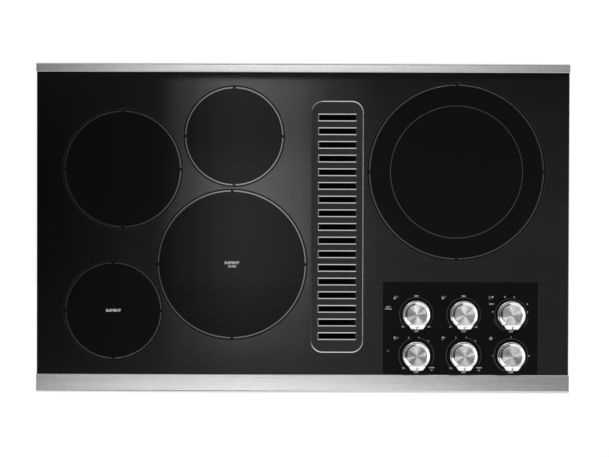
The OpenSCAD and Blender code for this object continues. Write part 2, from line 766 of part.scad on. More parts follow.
// A leaf spring: an arched strip that stands on a crossbar and pushes a dish up
module leaf() {
  half_span = bar_w / 2 - 3;
  rise = leaf_h;
  arch_r = (half_span * half_span + rise * rise) / (2 * rise);
  translate([-8, 0, rise - arch_r]) along_x(16) intersection() {
    difference() {
      circle(arch_r);
      circle(arch_r - 0.7);
    }
    translate([-half_span, arch_r - rise]) square([2 * half_span, rise]);
  }
}

module element_springs() {
  color("#b5b7b9") for (side = [-0.6, 0.6]) {
    for (b = [burners[0], burners[3]]) translate([left_bar_x, b[0][1] + side * b[1], bar_z]) rotate(90) leaf();
    for (b = [burners[1], burners[2]]) translate([middle_bar_x, b[0][1] + side * b[1], bar_z]) rotate(90) leaf();
    translate([right_at[0] + side * right_r, right_at[1], bar_z]) leaf();
  }
}

// What lies at a burner, turned to its limiter's side
module at_burner(i) {
  translate([burners[i][0][0], burners[i][0][1], 0]) rotate(head_turns[i]) children();
}

module limiter_way(r, gap) {
  translate([0, 0, limiter_z]) rotate([0, 90, 0]) cylinder(r = limiter_r + gap, h = 2 * r, $fn = 32);
}

module dish(i) {
  r = burners[i][1] - ring_over;
  color("#b3b6b8") at_burner(i) difference() {
    translate([0, 0, dish_z]) cylinder(r = r, h = dish_h - 3, $fn = 128);
    translate([0, 0, dish_z + 0.6]) cylinder(r = r - 0.6, h = dish_h, $fn = 128);
    limiter_way(r, 0.4);
  }
}

// The insulation: a floor and a rim in each dish, and a ring between the right burner's two zones
module element_insulation() {
  color("#e8e6df") for (i = [0:4]) at_burner(i) {
    r = burners[i][1] - ring_over - 0.6;
    difference() {
      translate([0, 0, dish_z + 0.6]) cylinder(r = r, h = dish_h - 0.6, $fn = 128);
      translate([0, 0, dish_z + 0.6 + insulation_t])
        cylinder(r = r - insulation_rim, h = dish_h, $fn = 128);
      limiter_way(r, 0.4);
      rotate(180) limiter_way(r - insulation_rim / 2, 0.4);
    }
    if (i == 4) difference() {
      translate([0, 0, dish_z + insulation_t]) cylinder(r = right_inner_r + 2, h = dish_h - insulation_t, $fn = 128);
      translate([0, 0, dish_z]) cylinder(r = right_inner_r - 4, h = dish_h + past, $fn = 128);
      limiter_way(r, 0.4);
      rotate(180) limiter_way(r, 0.4);
    }
  }
}

// A heating ribbon: rings open on one side, joined in turn into one long strip that stands on the insulation
module ribbon_rings(from, to) {
  turns = floor((to - from) / ribbon_pitch);
  open = 14;
  linear_extrude(ribbon_h) for (k = [0:turns]) {
    r = from + k * ribbon_pitch;
    difference() {
      circle(r + ribbon_t / 2, $fn = 96);
      circle(r - ribbon_t / 2, $fn = 96);
      translate([0, -open / 2]) square([r + ribbon_pitch, open]);
    }
    if (k < turns) {
      start = sqrt(r * r - open * open / 4);
      end = sqrt((r + ribbon_pitch) * (r + ribbon_pitch) - open * open / 4);
      translate([start, k % 2 == 0 ? open / 2 : -open / 2 - ribbon_t]) square([end - start, ribbon_t]);
    }
  }
}

module ribbon(i) {
  outer = burners[i][1] - ring_over - 0.6 - insulation_rim - 5;
  color("#b98a5a") at_burner(i) translate([0, 0, dish_z + 0.6 + insulation_t]) {
    if (i == 4) {
      ribbon_rings(22, right_inner_r - 4 - 5);
      ribbon_rings(outer - ribbon_pitch, outer);
    } else ribbon_rings(22, outer);
  }
}

// A limiter: a rod across the burner above the ribbon, with a ceramic head outside the dish
module element_limiters() {
  color("#ece9e2") for (i = [0:4]) at_burner(i) {
    r = burners[i][1] - ring_over;
    translate([insulation_rim / 2 - r, 0, limiter_z]) rotate([0, 90, 0])
      cylinder(r = limiter_r, h = 2 * r - insulation_rim / 2 + 1, $fn = 32);
    translate([r + run_gap, -head_w / 2, head_z]) cube([head_l, head_w, head_h]);
  }
}

// The bracket: a plate on two legs that stand on the box's floor, with a hole for each switch and lamp
module control_bracket() {
  leg_h = bracket_z - floor_top;
  color("#a2a6a9") translate([knobs_at[0], knobs_at[1], 0]) difference() {
    union() {
      translate([0, 0, bracket_z - bracket_t]) plate(bracket_w, bracket_d, bracket_t);
      for (side = [-1, 1]) {
        translate([side * (bracket_w - bracket_t) / 2, 0, floor_top]) plate(bracket_t, bracket_d, leg_h);
        translate([side * (bracket_w - bracket_foot) / 2, 0, floor_top]) plate(bracket_foot, bracket_d, bracket_t);
      }
      translate([-lamp_left - knob_pitch_x + 12, 0, bracket_z - bracket_t]) plate(30, bracket_d, bracket_t);
    }
    for (p = knob_spots) translate([p[0] - knobs_at[0], p[1] - knobs_at[1], bracket_z - bracket_t - past])
      cylinder(r = neck_r + seat_gap, h = bracket_t + 2 * past);
    for (y = [-1, 1]) translate([-lamp_left - knob_pitch_x, y * knob_pitch_y / 2, bracket_z - bracket_t - past])
      cylinder(r = lamp_r + seat_gap, h = bracket_t + 2 * past);
  }
}

// A switch's housing: a block with the cam's chamber, a threaded neck with its nut, and terminals
module switch_housing(p) {
  blade = 0.8;
  translate([p[0], p[1], 0]) {
    difference() {
      union() {
        translate([0, 0, switch_z - switch_h]) plate(switch_w, switch_w - 4, switch_h);
        translate([0, 0, switch_z]) cylinder(r = neck_r, h = neck_h);
        translate([0, 0, bracket_z]) cylinder(r = neck_r + 3, h = 2.4, $fn = 6);
      }
      translate([0, 0, cam_z - run_gap]) cylinder(r = cam_r + run_gap, h = cam_h + 2 * run_gap);
      translate([0, 0, cam_z]) cylinder(r = spindle_r + run_gap, h = switch_z + neck_h - cam_z + past, $fn = 32);
    }
    for (x = [-1, 0, 1], y = [-1, 1])
      translate([x * blade_step_x - 3, y * blade_step_y - blade / 2, switch_z - switch_h - blade_h])
      cube([6, blade, blade_h]);
  }
}

module element_switches() {
  color("#d8d3c4") for (p = knob_spots) switch_housing(p);
}

// A round section with a flat on its rear side
module flatted(r, flat) {
  difference() {
    circle(r, $fn = 48);
    translate([-r, r - flat]) square([2 * r, 2 * r]);
  }
}

// A cam: a drum with a lobe cut, turned by the flat on the spindle that slides through it
module cam(i) {
  color("#e6e0cf") translate([knob_spots[i][0], knob_spots[i][1], cam_z]) difference() {
    cylinder(r = cam_r, h = cam_h);
    translate([0, 0, -past]) linear_extrude(cam_h + 2 * past) flatted(spindle_r + run_gap, spindle_flat);
    translate([0, cam_r, cam_h / 2]) cylinder(r = cam_r / 2, h = cam_h);
  }
}

// A spindle: a flatted rod from the knob's hub down into the cam
module spindle(i) {
  top = knob_z + knob_h - 5;
  bottom = cam_z + push_travel + run_gap;
  color("#b7b9bb") translate([knob_spots[i][0], knob_spots[i][1], bottom])
    linear_extrude(top - bottom) flatted(spindle_r, spindle_flat);
}

// A knob: a hollow cap with a flange, a flatted hub and a pointer towards the front
module knob(i) {
  roof = knob_h - 2.5;
  hub_r = spindle_r + 3;
  shoulder = knob_h - knob_bezel - knob_wall / 2;
  color("#c2c4c6") translate([knob_spots[i][0], knob_spots[i][1], knob_z]) difference() {
    union() {
      rotate_extrude($fn = 96) polygon(concat(
        [[0, knob_h]],
        [for (a = [90:-15:0])
          [knob_top_r + (knob_body_r - knob_top_r) * cos(a), knob_h - knob_bezel * (1 - sin(a))]],
        [[knob_body_r, knob_flange_t], [knob_flange_r - 0.4, knob_flange_t], [knob_flange_r, knob_flange_t - 0.4],
         [knob_flange_r, 0.4], [knob_flange_r - 0.4, 0], [knob_body_r - knob_wall, 0],
         [knob_body_r - knob_wall, shoulder - knob_wall / 2], [knob_top_r - knob_wall / 2, roof], [hub_r, roof],
         [hub_r, 0.5], [0, 0.5]]));
      difference() {
        translate([-pointer_w / 2, 0, 0]) along_x(pointer_w) polygon([
          [-knob_top_r, knob_flange_t - 1], [-pointer_reach, knob_flange_t - 1],
          [-pointer_reach, knob_h - 6], [-pointer_reach + 3, knob_h - 1.5], [-knob_top_r, knob_h - 0.5]]);
        cylinder(r = knob_body_r - knob_wall / 2, h = shoulder);
      }
    }
    translate([0, 0, -past]) linear_extrude(knob_h - 5 + past + 0.3)
      flatted(spindle_r + bearing_gap, spindle_flat);
  }
}

// The indicator lamps: two lenses that reach up to the glass from the control bracket
module indicator_lamps() {
  color("#c8482c") for (y = [-1, 1])
    translate([knobs_at[0] - knob_pitch_x - lamp_left, knobs_at[1] + y * knob_pitch_y / 2, 0]) {
      translate([0, 0, bracket_z - 16]) cylinder(r = lamp_r, h = glass_z - seat_gap - bracket_z + 16);
      translate([0, 0, bracket_z]) cylinder(r = lamp_r + 2, h = 2);
    }
}

// The terminal block: an insulating base with three posts and low walls between them
module terminal_block() {
  color("#2f3133") translate([terminals_at[0], terminals_at[1], floor_top]) {
    plate(70, 32, 12);
    for (x = [-34, -12, 10, 32]) translate([x, 0, 12]) plate(2, 32, 12);
    for (x = [-23, -1, 21]) translate([x, 0, 12]) cylinder(r = 5, h = 8);
  }
}

// The conduit connector: a threaded tube through the box's floor, with a collar below and a ring nut above
module conduit_connector() {
  color("#bfc2c4") translate([conduit_at[0], conduit_at[1], floor_z]) difference() {
    union() {
      translate([0, 0, -22]) cylinder(r = conduit_r + 3, h = 34);
      translate([0, 0, -22]) cylinder(r = conduit_r + 6, h = 22);
      translate([0, 0, sheet_t]) cylinder(r = conduit_r + 6, h = 4, $fn = 8);
    }
    translate([0, 0, -22 - past]) cylinder(r = conduit_r, h = 34 + 2 * past);
  }
}

// The wires: from the terminal block along the box's floor to the switches, to each limiter's head and to the motor
module wiring() {
  color("#7a2f26") {
    bundle([
      [terminals_at[0] - 35 - run_gap, terminals_at[1], wire_z], [lane_x, terminals_at[1], wire_z],
      [lane_x, behind_y, wire_z], [lane_x, behind_y, switch_wire_z], [knobs_at[0], behind_y, switch_wire_z],
      [knobs_at[0], knobs_at[1] + knob_pitch_y / 2, switch_wire_z],
      [knobs_at[0], knobs_at[1] - knob_pitch_y / 2, switch_wire_z],
      [knobs_at[0] + knob_pitch_x, knobs_at[1] - knob_pitch_y / 2, switch_wire_z]]);
    bundle([
      [knobs_at[0] + knob_pitch_x, knobs_at[1] + knob_pitch_y / 2, switch_wire_z],
      [knobs_at[0], knobs_at[1] + knob_pitch_y / 2, switch_wire_z],
      [knobs_at[0] - knob_pitch_x, knobs_at[1] + knob_pitch_y / 2, switch_wire_z],
      [knobs_at[0] - knob_pitch_x, knobs_at[1] - knob_pitch_y / 2, switch_wire_z]]);
    bundle([
      [lane_x, terminals_at[1], wire_z], [lane_x, rear_lane_y, wire_z], [left_lane_x, rear_lane_y, wire_z],
      [left_lane_x, head_at(2)[1], wire_z], head_at(2)]);
    bundle([[lane_x, head_at(4)[1], wire_z], [head_at(4)[0], head_at(4)[1], wire_z], head_at(4)]);
    bundle([[head_at(1)[0], rear_lane_y, wire_z], [head_at(1)[0], head_at(1)[1], wire_z], head_at(1)]);
    bundle([
      [left_lane_x, rear_lane_y, wire_z], [head_at(0)[0], rear_lane_y, wire_z],
      [head_at(0)[0], head_at(0)[1], wire_z], head_at(0)]);
    bundle([
      [head_at(0)[0], head_at(0)[1], wire_z], [head_at(0)[0], head_at(3)[1], wire_z],
      [head_at(0)[0], head_at(3)[1], head_z - run_gap]]);
    bundle([
      [motor_lead_at[0], rear_lane_y, wire_z], [motor_lead_at[0], motor_lead_at[1], wire_z],
      [motor_lead_at[0], motor_lead_at[1], blower_z + motor_r + run_gap]]);
    for (x = [lane_x, head_at(1)[0], motor_lead_at[0]])
      translate([x, x == lane_x ? head_at(4)[1] : rear_lane_y, wire_z])
        cube(2 * (wire_r + seat_gap), center = true);
  }
}

// The clamp brackets: angles on the box's left and right walls, each with a hole for its screw
module clamp_brackets() {
  color("#b4b7b9") for (side = [0, 1]) mirror([side, 0, 0]) translate([box_w / 2, 0, 0]) difference() {
    union() {
      translate([0, -clamp_w / 2, clamp_shelf_z]) cube([clamp_t, clamp_w, clamp_h]);
      translate([0, -clamp_w / 2, clamp_shelf_z]) cube([clamp_reach, clamp_w, clamp_t]);
    }
    translate([clamp_reach - clamp_screw_in, 0, clamp_shelf_z - past])
      cylinder(r = clamp_screw_r + run_gap, h = clamp_t + 2 * past, $fn = 48);
  }
}

clamp_shelf_z = -clamp_drop - clamp_h + 10;

// A clamp screw: a pad that presses on the worktop from below, a shank and a hexagon head
module clamp_screw(side) {
  head_z = clamp_shelf_z - clamp_travel - 2;
  color("#c4c6c8") translate([side * (box_w / 2 + clamp_reach - clamp_screw_in), 0, 0]) {
    translate([0, 0, -clamp_drop - 2]) cylinder(r = 7, h = 2);
    translate([0, 0, head_z]) cylinder(r = clamp_screw_r, h = -clamp_drop - 2 - head_z, $fn = 48);
    translate([0, 0, head_z - 5]) cylinder(r = 2 * clamp_screw_r, h = 5, $fn = 6);
  }
}

module clamp_screw_left() {
  clamp_screw(-1);
}

module clamp_screw_right() {
  clamp_screw(1);
}

// A pan-head screw that points along +z, with its head's underside at z = 0
module screw(l) {
  cylinder(r = screw_r, h = l, $fn = 32);
  translate([0, 0, -screw_head_h]) cylinder(r = screw_head_r, h = screw_head_h, $fn = 32);
}

module screws() {
  color("#cfd1d3") {
    for (p = plenum_screws) translate([p[0], p[1], floor_z - sheet_t]) screw(2 * sheet_t + 5);
    for (p = cover_screws) blower_side(blower_w + sheet_t) translate([0, p[0], p[1]]) rotate([0, 90, 0])
      screw(2 * sheet_t + 5);
  }
}

glass_top();
front_trim();
rear_trim();
worktop_seal();
burner_box();
vent_grille();
filter_frame();
filter_mesh();
vent_well();
plenum_box();
overflow_jar();
blower_housing();
blower_inlet_side();
blower_cover();
impeller();
blower_motor();
motor_shaft();
duct_collar();
element_crossbars();
element_springs();
dish(0);  // rear_left_dish
dish(1);  // rear_middle_dish
dish(2);  // front_middle_dish
dish(3);  // front_left_dish
dish(4);  // right_dish
ribbon(0);  // rear_left_ribbon
ribbon(1);  // rear_middle_ribbon
ribbon(2);  // front_middle_ribbon
ribbon(3);  // front_left_ribbon
ribbon(4);  // right_ribbon
element_insulation();
element_limiters();
control_bracket();
element_switches();
cam(0);  // cam_1
cam(1);  // cam_2
cam(2);  // cam_3
cam(3);  // cam_4
cam(4);  // cam_5
cam(5);  // cam_6
spindle(0);  // spindle_1
spindle(1);  // spindle_2
spindle(2);  // spindle_3
spindle(3);  // spindle_4
spindle(4);  // spindle_5
spindle(5);  // spindle_6
knob(0);  // knob_1
knob(1);  // knob_2
knob(2);  // knob_3
knob(3);  // knob_4
knob(4);  // knob_5
knob(5);  // knob_6
indicator_lamps();
terminal_block();
conduit_connector();
wiring();
clamp_brackets();
clamp_screw_left();
clamp_screw_right();
screws();
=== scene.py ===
"""An electric downdraft cooktop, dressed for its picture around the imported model."""
import math

import bmesh
import bpy
from mathutils import Matrix, Vector


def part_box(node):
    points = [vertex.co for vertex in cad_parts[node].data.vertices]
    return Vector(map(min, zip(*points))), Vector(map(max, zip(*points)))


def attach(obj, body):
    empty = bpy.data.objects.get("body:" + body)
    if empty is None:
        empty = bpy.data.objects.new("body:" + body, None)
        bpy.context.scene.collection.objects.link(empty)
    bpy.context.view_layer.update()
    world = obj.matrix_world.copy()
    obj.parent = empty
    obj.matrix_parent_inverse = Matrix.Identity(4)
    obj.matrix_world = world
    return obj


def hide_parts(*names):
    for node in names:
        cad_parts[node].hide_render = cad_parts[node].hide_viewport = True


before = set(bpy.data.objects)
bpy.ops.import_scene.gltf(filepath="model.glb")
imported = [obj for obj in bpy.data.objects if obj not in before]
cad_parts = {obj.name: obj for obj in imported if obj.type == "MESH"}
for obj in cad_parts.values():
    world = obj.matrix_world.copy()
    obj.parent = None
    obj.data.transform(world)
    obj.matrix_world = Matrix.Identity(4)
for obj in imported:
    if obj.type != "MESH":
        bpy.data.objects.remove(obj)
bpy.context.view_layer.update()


# Camera: it looks straight down on the top from almost three metres up, a little behind the middle.
camera_aim = Vector((0.0028, -0.0004, 0.007))
camera_far = 2.8
camera_tilt = math.radians(0.8)
camera_roll = math.radians(0.17)
camera_place = camera_aim + camera_far * Vector((0, math.sin(camera_tilt), math.cos(camera_tilt)))
camera_back = (camera_place - camera_aim).normalized()
camera_up = Vector((-math.sin(camera_roll), math.cos(camera_roll), 0))
camera_up = (camera_up - camera_back * camera_up.dot(camera_back)).normalized()
bpy.ops.object.camera_add()
camera = bpy.context.object
camera.name = "camera"
camera.data.lens = 96.15
camera.data.clip_end = 40
camera.matrix_world = Matrix.Translation(camera_place) @ Matrix(
    (camera_up.cross(camera_back), camera_up, camera_back)).transposed().to_4x4()
bpy.context.scene.camera = camera
bpy.context.scene.view_settings.view_transform = "Standard"


# Shading: a socket of a material's nodes, on which Python's operators add Math nodes. It serves the floor,
# the light and every finish on the cooktop.
class Shade:
    def __init__(self, tree, socket=None):
        self.tree, self.socket = tree, socket

    def node(self, kind, settings=None, out=0, **values):
        """Adds a node: its settings come first, then its inputs, by name or as in_ and a number."""
        made = self.tree.nodes.new("ShaderNode" + kind)
        for name, value in (settings or {}).items():
            if name == "stops":
                ramp = made.color_ramp
                ramp.interpolation = "EASE"
                while len(ramp.elements) < len(value):
                    ramp.elements.new(0.5)
                for stop, (place, level) in zip(ramp.elements, value):
                    stop.position = place
                    stop.color = (level, level, level, 1)
            else:
                setattr(made, name, value)
        for name, value in values.items():
            socket = made.inputs[int(name[3:]) if name.startswith("in_") else name.replace("_", " ")]
            if isinstance(value, Shade):
                self.tree.links.new(value.socket, socket)
            else:
                socket.default_value = value
        return Shade(self.tree, made.outputs[out])

    def feed(self, kind, socket):
        """Links this to a socket of the tree's own node of that kind."""
        node = next(n for n in self.tree.nodes if n.type == kind)
        self.tree.links.new(self.socket, node.inputs[socket])

    def math(self, operation, *others):
        values = {f"in_{i}": value for i, value in enumerate((self, *others))}
        return self.node("Math", {"operation": operation}, **values)

    def __add__(self, other):
        return self.math("ADD", other)

    def __sub__(self, other):
        return self.math("SUBTRACT", other)

    def __rsub__(self, other):
        return self.node("Math", {"operation": "SUBTRACT"}, in_0=other, in_1=self)

    def __mul__(self, other):
        return self.math("MULTIPLY", other)

    def __truediv__(self, other):
        return self.math("DIVIDE", other)

    def __pow__(self, other):
        return self.math("POWER", other)

    __radd__ = __add__
    __rmul__ = __mul__

    def either(self, other):
        return self.math("MAXIMUM", other)

    def ramp(self, low, high):
        """0 below low, 1 above high, smooth between."""
        return self.node("MapRange", {"interpolation_type": "SMOOTHSTEP"}, in_0=self, in_1=low, in_2=high)

    def stops(self, *pairs):
        """A level that eases from stop to stop, each a place and its level."""
        return self.node("ValToRGB", {"stops": pairs}, Fac=self)

    def mix(self, low, high):
        """A colour, low where this is 0 and high where it is 1."""
        low = (*low, 1) if isinstance(low, tuple) else low
        high = (*high, 1) if isinstance(high, tuple) else high
        return self.node("Mix", {"data_type": "RGBA"}, out=2, in_0=self, in_6=low, in_7=high)

    def parts(self):
        split = self.node("SeparateXYZ", in_0=self).socket.node
        return [Shade(self.tree, split.outputs[i]) for i in range(3)]

    def scaled(self, x, y, z):
        return self.node("Mapping", Vector=self, Scale=(x, y, z))

    def noise(self, scale, detail=2.0, rough=0.5):
        return self.node("TexNoise", Vector=self, Scale=scale, Detail=detail, Roughness=rough)

    def cells(self, scale, out="Distance", chaos=1.0):
        return self.node("TexVoronoi", out=out, Vector=self, Scale=scale, Randomness=chaos)


def material_of(name, **fixed):
    """A new material, with the point on the object and a call that links what varies over it."""
    material = bpy.data.materials.new(name)
    material.use_nodes = True
    shade = Shade(material.node_tree)
    shader = next(n for n in material.node_tree.nodes if n.type == "BSDF_PRINCIPLED")
    for socket, value in fixed.items():
        shader.inputs[socket.replace("_", " ")].default_value = value

    def vary(**inputs):
        for socket, value in inputs.items():
            if socket == "Bump":
                height, distance, strength = value
                value = shade.node("Bump", Height=height, Distance=distance, Strength=strength)
                socket = "Normal"
            value.feed("BSDF_PRINCIPLED", socket.replace("_", " "))

    return material, shade.node("TexCoord", out="Object"), vary


def plain_finish(name, grain, dark, light, smooth, uneven, bump=None, stretch=None, **fixed):
    """A finish that a noise varies. Grain is the noise's scale, detail and roughness, and stretch its scales
    along the axes. The finish's own roughness goes from smooth up by uneven. Bump is a height, its strength
    and, where its noise is another one, that noise's scale and detail."""
    material, place, vary = material_of(name, **fixed)
    if stretch:
        place = place.scaled(*stretch)
    tone = place.noise(*grain)
    vary(Base_Color=tone.mix(dark, light), Roughness=tone * uneven + smooth)
    if bump:
        height, strength, *own_grain = bump
        vary(Bump=(place.noise(*own_grain) if own_grain else tone, height, strength))
    return material


def dress(material, *nodes):
    """Gives CAD nodes a better material in their own slots."""
    for name in nodes:
        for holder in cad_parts[name].material_slots:
            holder.material = material


# Floor and light: a white floor well under the jar's travel and a dim room that is darker overhead. Soft
# lamps hang over the middle, the front, the back and the right, and low ones shine in from both sides.
floor_z = -0.6
bpy.ops.object.select_all(action="DESELECT")
bpy.ops.mesh.primitive_plane_add(size=30, location=(0, 0, floor_z))
floor = bpy.context.object
floor.name = "floor"
bpy.ops.object.transform_apply(location=True, rotation=False, scale=False)
floor_paint = bpy.data.materials.new("floor_white")
floor_paint.use_nodes = True
floor_shade = Shade(floor_paint.node_tree)
camera_ray, glossy_ray, through_ray = (
    floor_shade.node("LightPath", out=f"Is {kind} Ray") for kind in ("Camera", "Glossy", "Transmission"))
floor_mix = floor_shade.node("MixShader", in_0=camera_ray.either(glossy_ray).either(through_ray) * 0.8,
                             in_1=floor_shade.node("BsdfDiffuse", Color=(0.9, 0.9, 0.9, 1)),
                             in_2=floor_shade.node("Emission", Color=(1, 1, 1, 1), Strength=1.15))
floor_mix.feed("OUTPUT_MATERIAL", "Surface")
floor.data.materials.append(floor_paint)

room = bpy.data.worlds.new("room")
bpy.context.scene.world = room
room.use_nodes = True
room_shade = Shade(room.node_tree)
side, depth, height = room_shade.node("TexCoord", out="Generated").parts()
wall = (depth * depth) / (depth * depth + side * side * 0.4 + 0.001)
corner = (1 - side.ramp(-0.20, 0.06)) * depth.ramp(-0.05, 0.12)
corner = corner * height.ramp(0.19, 0.28) * (1 - height.ramp(0.44, 0.49))
low_wall = 1 - height.ramp(0.13, 0.22)
wall_level = wall * (1 - corner * 0.95) + (1 - wall) * (side.ramp(-0.2, 0.6) * 0.15 + 0.04)
wall_level = low_wall * 0.8 + (1 - low_wall) * wall_level
room_level = height.stops((0.0, 1.15), (0.20, 1.3), (0.35, 1.1), (0.50, 0.75), (0.72, 0.65), (0.85, 0.35),
                          (0.94, 0.17), (0.97, 0.04), (1.0, 0.02)) * wall_level
white_behind = room_shade.node("LightPath", out="Is Camera Ray").mix(room_level, (1.0, 1.0, 1.0))
white_behind.feed("BACKGROUND", "Color")


def hang_lamp(name, place, aim, wide, deep, power, glow=None):
    """A soft lamp. Its glow may vary over it, by how far across and how far along each point lies."""
    bpy.ops.object.light_add(type="AREA", location=place)
    lamp = bpy.context.object
    lamp.name = name
    lamp.data.shape, lamp.data.size, lamp.data.size_y, lamp.data.energy = "RECTANGLE", wide, deep, power
    lamp.rotation_euler = (Vector(aim) - Vector(place)).to_track_quat("-Z", "Y").to_euler()
    lamp.visible_camera = False
    if glow:
        lamp.data.use_nodes = True
        across, along, _ = Shade(lamp.data.node_tree).node("NewGeometry", out="Parametric").parts()
        glow(across, along).feed("EMISSION", "Color")


def middle_glow(across, along):
    """A bright patch left of the middle over a weak even light, which fades out at the left end."""
    patch = across.stops((0.32, 0.0), (0.358, 0.30), (0.38, 0.58), (0.40, 0.86), (0.425, 1.0), (0.447, 0.92),
                         (0.469, 0.76), (0.4915, 0.60), (0.514, 0.36), (0.536, 0.16), (0.60, 0.0))
    reach = along.stops((0.0, 0.03), (0.04, 0.08), (0.157, 0.30), (0.257, 0.52), (0.358, 0.93), (0.509, 1.0),
                        (0.661, 1.0), (0.83, 0.72), (1.0, 0.92))
    even = across.stops((0.14, 0.0), (0.20, 0.022), (0.25, 0.045), (0.30, 0.085), (0.36, 0.16), (0.42, 0.20),
                        (0.50, 0.22), (0.58, 0.21), (0.65, 0.18), (0.80, 0.16), (1.0, 0.16))
    front = along.stops((0.0, 0.80), (0.157, 0.85), (0.36, 0.92), (0.50, 1.0), (0.66, 0.75), (0.83, 0.55),
                        (1.0, 0.3))
    return patch * reach + even * front


def strip_glow(across, along):
    """Bright at the middle of the strip and dim at its ends."""
    return across.stops((0.08, 0.02), (0.17, 0.12), (0.25, 0.5), (0.35, 0.86), (0.48, 1.0), (0.60, 0.86),
                        (0.70, 0.60), (0.80, 0.32), (0.95, 0.1))


hang_lamp("lamp_overhead", (0, -0.028, 2.0), (0, -0.028, 0), 2.4, 0.88, 2.75, glow=middle_glow)
hang_lamp("lamp_back", (0, 0.592, 2.0), (0, 0.592, 0), 2.4, 0.25, 5.2, glow=strip_glow)
hang_lamp("lamp_front", (-0.14, -0.635, 2.0), (-0.14, -0.635, 0), 2.4, 0.25, 5.0, glow=strip_glow)
hang_lamp("lamp_knobs_front", (0.50, -1.20, 2.0), (0.50, -1.20, 0), 0.9, 0.7, 2.3)
hang_lamp("lamp_glare", (1.25, 0, 2.0), (1.25, 0, 0), 0.6, 1.4, 2.4)
hang_lamp("lamp_right", (2.3, -0.1, 0.58), (0.3, -0.1, 0.03), 2.4, 0.7, 8)
hang_lamp("lamp_left", (-1.6, -1.7, 0.55), (0.2, -0.15, 0.03), 2.2, 0.8, 6)


# Sheet metal: the burner box, the vent well, the plenum, the blower's shell and the duct collar are folded
# from galvanised sheet, and the burners' dishes pressed. It has a faint spangle and rolling streaks.
zinc, place, vary = material_of("zinc_sheet", Metallic=1.0)
spangle = place.cells(60)
tone = place.cells(60, out="Color").parts()[0]
streak = place.scaled(6, 220, 6).noise(1.0, detail=3)
patch = place.noise(9, detail=4, rough=0.6)
vary(Base_Color=(tone * 0.6 + patch * 0.4).mix((0.30, 0.315, 0.325), (0.49, 0.505, 0.515)),
     Roughness=tone * 0.12 + patch * 0.1 + 0.28,
     Bump=(streak * 0.3 + spangle * 0.7, 0.0003, 0.15))
burner_names = ["rear_left", "rear_middle", "front_middle", "front_left", "right"]
dress(zinc, "burner_box", "vent_well", "plenum_box", "blower_housing", "blower_inlet_side", "blower_cover",
      "duct_collar", "element_crossbars", "control_bracket", *[f"{name}_dish" for name in burner_names])


# Fan wheel: pressed from sheet and painted semi-matt black, with some kitchen dust on the paint's fine
# orange peel.
black_steel = plain_finish("black_steel", (14, 5, 0.65), (0.022, 0.022, 0.025), (0.05, 0.05, 0.053),
                           0.38, 0.2, bump=(0.0002, 0.25, 900, 2))
dress(black_steel, "impeller")


# Foam seal: a closed-cell strip that is glued round the underside of the rim and beds on the worktop.
foam, place, vary = material_of("foam", Specular_IOR_Level=0.2)
cell = place.cells(900)
vary(Base_Color=cell.mix((0.015, 0.015, 0.015), (0.045, 0.045, 0.045)),
     Roughness=cell * 0.1 + 0.85,
     Bump=(cell, 0.0004, 0.6))
dress(foam, "worktop_seal")


# Plated parts: the shafts, the spindles, the springs and the clamps are zinc-plated steel, wiped bright.
plated = plain_finish("plated_steel", (1, 3), (0.62, 0.62, 0.6), (0.74, 0.74, 0.73), 0.22, 0.12,
                      bump=(0.0002, 0.1), stretch=(40, 40, 400), Metallic=1.0)
dress(plated, "motor_shaft", "conduit_connector", "clamp_brackets", "element_springs",
      *[f"spindle_{n}" for n in range(1, 7)])


# Burners: pressed mineral-fibre bowls, corrugated heating ribbons that stand on edge in them, and limiter
# rods with ceramic heads.
insulation, place, vary = material_of("insulation", Specular_IOR_Level=0.1)
fluff = place.noise(240, detail=5, rough=0.7)
scorch = place.noise(18, detail=3)
vary(Base_Color=(fluff * 0.5 + scorch * 0.5).mix((0.62, 0.58, 0.5), (0.86, 0.84, 0.78)),
     Roughness=fluff * 0.1 + 0.88,
     Bump=(fluff, 0.001, 0.8))
dress(insulation, "element_insulation")
alloy = plain_finish("heating_alloy", (160, 4), (0.16, 0.1, 0.07), (0.42, 0.3, 0.22), 0.4, 0.2, Metallic=1.0)
dress(alloy, *[f"{name}_ribbon" for name in burner_names])
ceramic = plain_finish("white_ceramic", (300, 3), (0.74, 0.72, 0.66), (0.88, 0.86, 0.81), 0.35, 0.15,
                       bump=(0.0003, 0.2))
dress(ceramic, "element_limiters")


# Controls: rotary switches of moulded plastic under the bracket, each with a cam, two red pilot lamps and a
# black terminal block.
moulded, place, vary = material_of("switch_plastic")
spark = place.noise(1400, detail=2)
drift = place.noise(30, detail=2)
vary(Base_Color=drift.mix((0.66, 0.62, 0.52), (0.76, 0.73, 0.64)),
     Roughness=spark * 0.15 + 0.45,
     Bump=(spark, 0.0001, 0.3))
dress(moulded, "element_switches", *[f"cam_{n}" for n in range(1, 7)])
black_plastic = plain_finish("black_plastic", (1400, 2), (0.018, 0.018, 0.02), (0.035, 0.035, 0.037),
                             0.42, 0.2, bump=(0.0001, 0.3))
dress(black_plastic, "terminal_block")
lamp_lens = plain_finish("lamp_red", (420, 1), (0.34, 0.02, 0.012), (0.55, 0.05, 0.03), 0.1, 0.1,
                         Transmission_Weight=0.3, Coat_Weight=0.6)
dress(lamp_lens, "indicator_lamps")


# Wiring: bundles of heat-proof sleeved wire between the terminals, the switches, the burners and the motor.
sleeve, place, vary = material_of("wire_sleeve")
braid = place.node("TexChecker", out=1, Vector=place, Scale=1100.0)
grime = place.noise(40, detail=3)
vary(Base_Color=(braid * 0.5 + grime * 0.5).mix((0.16, 0.02, 0.016), (0.36, 0.06, 0.045)),
     Roughness=grime * 0.2 + 0.6,
     Bump=(braid, 0.0003, 0.5))
dress(sleeve, "wiring")


